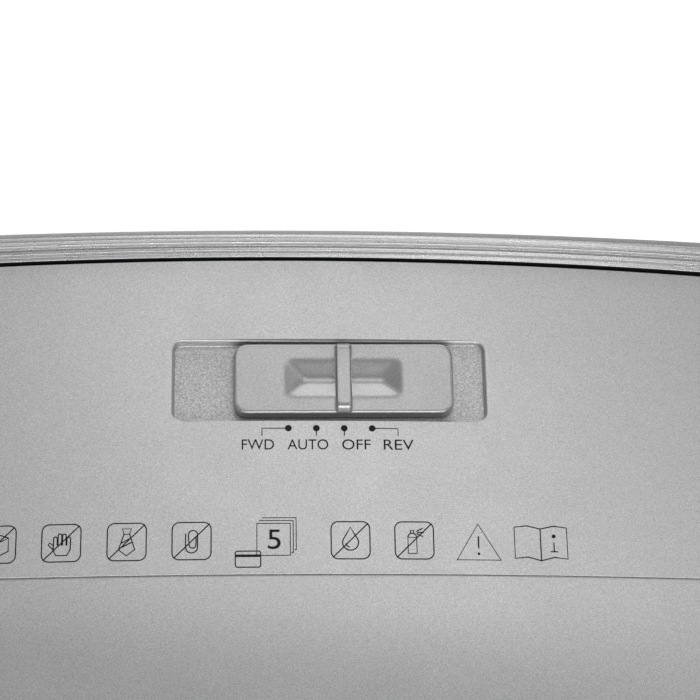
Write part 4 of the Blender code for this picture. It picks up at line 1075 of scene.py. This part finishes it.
def make_position_marks():
    """The four stops' dots, their leader lines and their names."""
    dot_row = -0.03492
    tick_end = -0.03645
    far_left = -0.0019
    far_right = 0.0239
    stops = [KNOB_X + PITCH * step for step in (-2, -1, 0, 1)]
    pieces = [disc((x, dot_row), DOT_RADIUS) for x in stops]
    left, auto, off, right = stops
    lines = [
        [(left, dot_row), (far_left, dot_row), (far_left, tick_end)],
        [(auto, dot_row), (auto, tick_end)],
        [(off, dot_row), (off, tick_end)],
        [(right, dot_row), (far_right, dot_row), (far_right, tick_end)],
    ]
    pieces.append(stroke_pieces([(line, False) for line in lines], LEADER))
    lay_print(join(pieces), "stop_marks")
    base = -0.03921
    height = 0.00205
    words = (
        ("FWD", -0.00572, 0.0061), ("AUTO", 0.00293, 0.0077),
        ("OFF", 0.01325, 0.0054), ("REV", 0.02112, 0.0057),
    )
    lay_print(join([word(text, x, base, height, width) for text, x, width in words]), "stop_names")


ICON = 0.00745
ICON_ROW = -0.05712
LINE = 0.00023


def rounded_square(cx, cy, size, corner=0.00135):
    return [(cx + x, cy + y) for x, y in rounded_outline(size, size, corner, 6)]


def framed(cx, inner):
    """A rounded frame with a stroke across it: not for the shredder."""
    slash = ICON / 2 - 0.00040
    strokes = [(rounded_square(cx, ICON_ROW, ICON - LINE), True)]
    strokes.append(([(cx - slash, ICON_ROW - slash), (cx + slash, ICON_ROW + slash)], False))
    unit = ICON / 10
    for points, closed in inner:
        placed = [(cx + x * unit, ICON_ROW + y * unit) for x, y in points]
        strokes.append((placed, closed))
    return strokes


def box_sign():
    return [
        ([(-2.8, 1.4), (0.2, 0.4), (0.2, -3.2), (-2.8, -2.0)], True),
        ([(0.2, 0.4), (3.0, 1.6), (3.0, -1.8), (0.2, -3.2)], False),
        ([(-2.8, 1.4), (0.0, 2.8), (3.0, 1.6)], False),
    ]


def glove_sign():
    fingers = []
    for x, top in ((-1.9, 1.6), (-0.8, 2.4), (0.3, 2.3), (1.4, 1.5)):
        tip = arc_points((x + 0.45, top - 0.4), 0.45, 180, 0, 6)
        fingers.append(([(x, -0.6), (x, top - 0.4)] + tip + [(x + 0.9, -0.6)], False))
    palm = [(-1.9, -0.6), (-2.0, -1.8), (-1.3, -3.2), (1.4, -3.2), (2.2, -1.9), (2.3, -0.6)]
    thumb = [(-2.0, -1.6), (-3.2, -0.4), (-2.9, 0.1), (-1.9, -0.6)]
    return fingers + [(palm, False), (thumb, False)]


def ribbon_sign():
    return [
        ([(-1.1, 3.4), (1.1, 3.4), (0.7, 2.0), (-0.7, 2.0)], True),
        ([(-0.7, 2.0), (-2.0, -2.0), (0.0, -3.6), (2.0, -2.0), (0.7, 2.0)], False),
        ([(-1.5, -0.4), (1.0, 1.0)], False),
        ([(-1.9, -1.7), (1.5, 0.0)], False),
    ]


def clip_sign():
    bends = arc_points((0, -1.6), 1.5, 180, 360, 10)
    bends += arc_points((0.35, 1.6), 1.15, 0, 180, 10)
    bends += arc_points((0.25, -1.0), 0.85, 180, 360, 8)
    return [([(-1.5, 1.9)] + bends + [(1.1, 1.0)], False)]


def drop_sign():
    body = [(0, 3.4), (-1.0, 1.6)] + arc_points((0, -0.6), 2.0, 150, 390, 16) + [(1.0, 1.6)]
    return [(body, True), (arc_points((0, -0.6), 1.2, 190, 260, 6), False)]


def can_sign():
    return [
        ([(-1.6, -3.4), (0.6, -3.4), (0.6, 0.8), (-1.6, 0.8)], True),
        (arc_points((-0.5, 0.8), 1.1, 0, 180, 8), False),
        ([(-0.9, 1.9), (-0.9, 2.6), (-0.1, 2.6), (-0.1, 1.9)], False),
        ([(0.6, 2.4), (2.2, 3.2)], False),
        ([(0.7, 2.1), (2.5, 2.1)], False),
        ([(0.6, 1.8), (2.2, 1.0)], False),
    ]


def make_pictograms():
    """A row of plain signs: what stays out of the slot, how many sheets go in, and the manual."""
    framed_signs = (
        ("sign_box", -0.0511, box_sign()), ("sign_glove", -0.0391, glove_sign()),
        ("sign_ribbon", -0.0270, ribbon_sign()), ("sign_clip", -0.0150, clip_sign()),
        ("sign_drop", 0.0145, drop_sign()), ("sign_can", 0.0264, can_sign()),
    )
    for name, cx, inner in framed_signs:
        lay_print(stroke_pieces(framed(cx, inner), LINE), name)
    sheet = 0.0062
    left = -0.0029
    low = ICON_ROW - 0.0029
    strokes = [([(left, low), (left + sheet, low), (left + sheet, low + sheet), (left, low + sheet)], True)]
    for back in (0.00055, 0.00110):
        strokes.append(([
            (left + back, low + sheet + back - 0.0001), (left + back, low + sheet + back),
            (left + sheet + back, low + sheet + back), (left + sheet + back, low + back),
            (left + sheet + back - 0.0003, low + back),
        ], False))
    card = [(x - 0.00455, low + y - 0.0007) for x, y in rounded_outline(0.0047, 0.0031, 0.0004, 4)]
    strokes.append((card, True))
    sheets = stroke_pieces(strokes, LINE)
    band = start_cube("band", (-0.0068, low - 0.0003, -0.00001), (-0.0023, low + 0.0002, 0.00001))
    count = word("5", left + 0.0020, low + 0.0012, 0.0038, 0.0024)
    lay_print(join([sheets, band, count]), "sign_sheets")
    foot = ICON_ROW - 0.0037
    triangle = [([(0.0343, foot), (0.0425, foot), (0.0384, foot + 0.0070)], True)]
    triangle.append(([(0.0384, foot + 0.0046), (0.0384, foot + 0.0023)], False))
    dot = disc((0.0384, foot + 0.0012), 0.00026)
    lay_print(join([stroke_pieces(triangle, LINE * 1.25), dot]), "sign_care")
    top = ICON_ROW + 0.0031
    pages = [
        (0.0452, top - 0.0003), (0.0476, top), (0.0501, top - 0.0006), (0.0526, top), (0.0551, top - 0.0003),
        (0.0551, foot + 0.0004), (0.0526, foot + 0.0007), (0.0501, foot), (0.0476, foot + 0.0007),
        (0.0452, foot + 0.0004),
    ]
    book = [
        (pages, True),
        ([(0.0501, top - 0.0006), (0.0501, foot)], False),
        ([(0.0526, foot + 0.0018), (0.0526, foot + 0.0036)], False),
        ([(0.0519, foot + 0.0018), (0.0533, foot + 0.0018)], False),
    ]
    point = disc((0.0526, foot + 0.0048), 0.00038)
    lay_print(join([stroke_pieces(book, LINE), point]), "sign_manual")


# ---- Studio ----

def make_camera():
    data = bpy.data.cameras.new("camera")
    data.lens = FOCAL_LENGTH
    data.sensor_width = 36.0
    data.clip_start = 0.01
    data.clip_end = 20.0
    camera = bpy.data.objects.new("camera", data)
    bpy.context.scene.collection.objects.link(camera)
    forward = Vector(VIEW_DIRECTION).normalized()
    right = Vector(VIEW_RIGHT)
    right = (right - forward * right.dot(forward)).normalized()
    up = right.cross(forward)
    turn = Matrix((right, up, -forward)).transposed().to_4x4()
    place = Matrix.Translation(Vector(CAMERA_AIM) - forward * CAMERA_DISTANCE)
    camera.matrix_world = panel_frame() @ place @ turn
    bpy.context.scene.camera = camera


def add_softbox(name, location, aim, width, height, energy):
    light = bpy.data.lights.new(name, "AREA")
    light.shape = "RECTANGLE"
    light.size = width
    light.size_y = height
    light.energy = energy
    lamp = bpy.data.objects.new(name, light)
    bpy.context.scene.collection.objects.link(lamp)
    lamp.location = location
    lamp.rotation_euler = (Vector(aim) - Vector(location)).to_track_quat("-Z", "Y").to_euler()


WORLD_LIGHT = 0.28
KEY = 1.5
FRONT = 8
LEFT = 0.6
BACK = 4.2
TOP = 1.6
LOW = 0.5
FLOOR_GLOW = 0.55


def make_studio():
    world = bpy.data.worlds.new("studio")
    bpy.context.scene.world = world
    world.use_nodes = True
    background = world.node_tree.nodes["Background"]
    background.inputs["Color"].default_value = (1, 1, 1, 1)
    background.inputs["Strength"].default_value = WORLD_LIGHT
    bpy.context.scene.view_settings.view_transform = "Standard"
    deselect()
    bpy.ops.mesh.primitive_plane_add(size=12, location=(0, 0, 0))
    floor = bpy.context.object
    floor.name = "floor"
    made, _, shader = new_material("floor_paper", (0.95, 0.95, 0.95), 0.9)
    shader.inputs["Emission Color"].default_value = (1, 1, 1, 1)
    shader.inputs["Emission Strength"].default_value = FLOOR_GLOW
    floor.data.materials.append(made)
    head = (0.0, 0.0, 0.34)
    add_softbox("right", (0.95, -0.10, 1.15), head, 0.7, 0.7, KEY)
    add_softbox("front", (0.10, -1.20, 1.05), head, 1.2, 0.5, FRONT)
    add_softbox("left", (-1.0, -0.10, 1.05), head, 0.7, 0.7, LEFT)
    add_softbox("back", (0.0, 1.00, 1.15), head, 1.4, 0.5, BACK)
    add_softbox("top", (0.1, 0.15, 1.55), head, 0.8, 0.35, TOP)
    add_softbox("low_front", (0.0, -1.30, 0.55), head, 1.4, 0.4, LOW)


make_camera()
make_studio()
make_control_panel()
make_paper_guide()
make_top_cover()
make_slider_knob()
make_lower_housing()
make_waste_bin()
make_feet()
make_cord_gland()
make_position_marks()
make_pictograms()
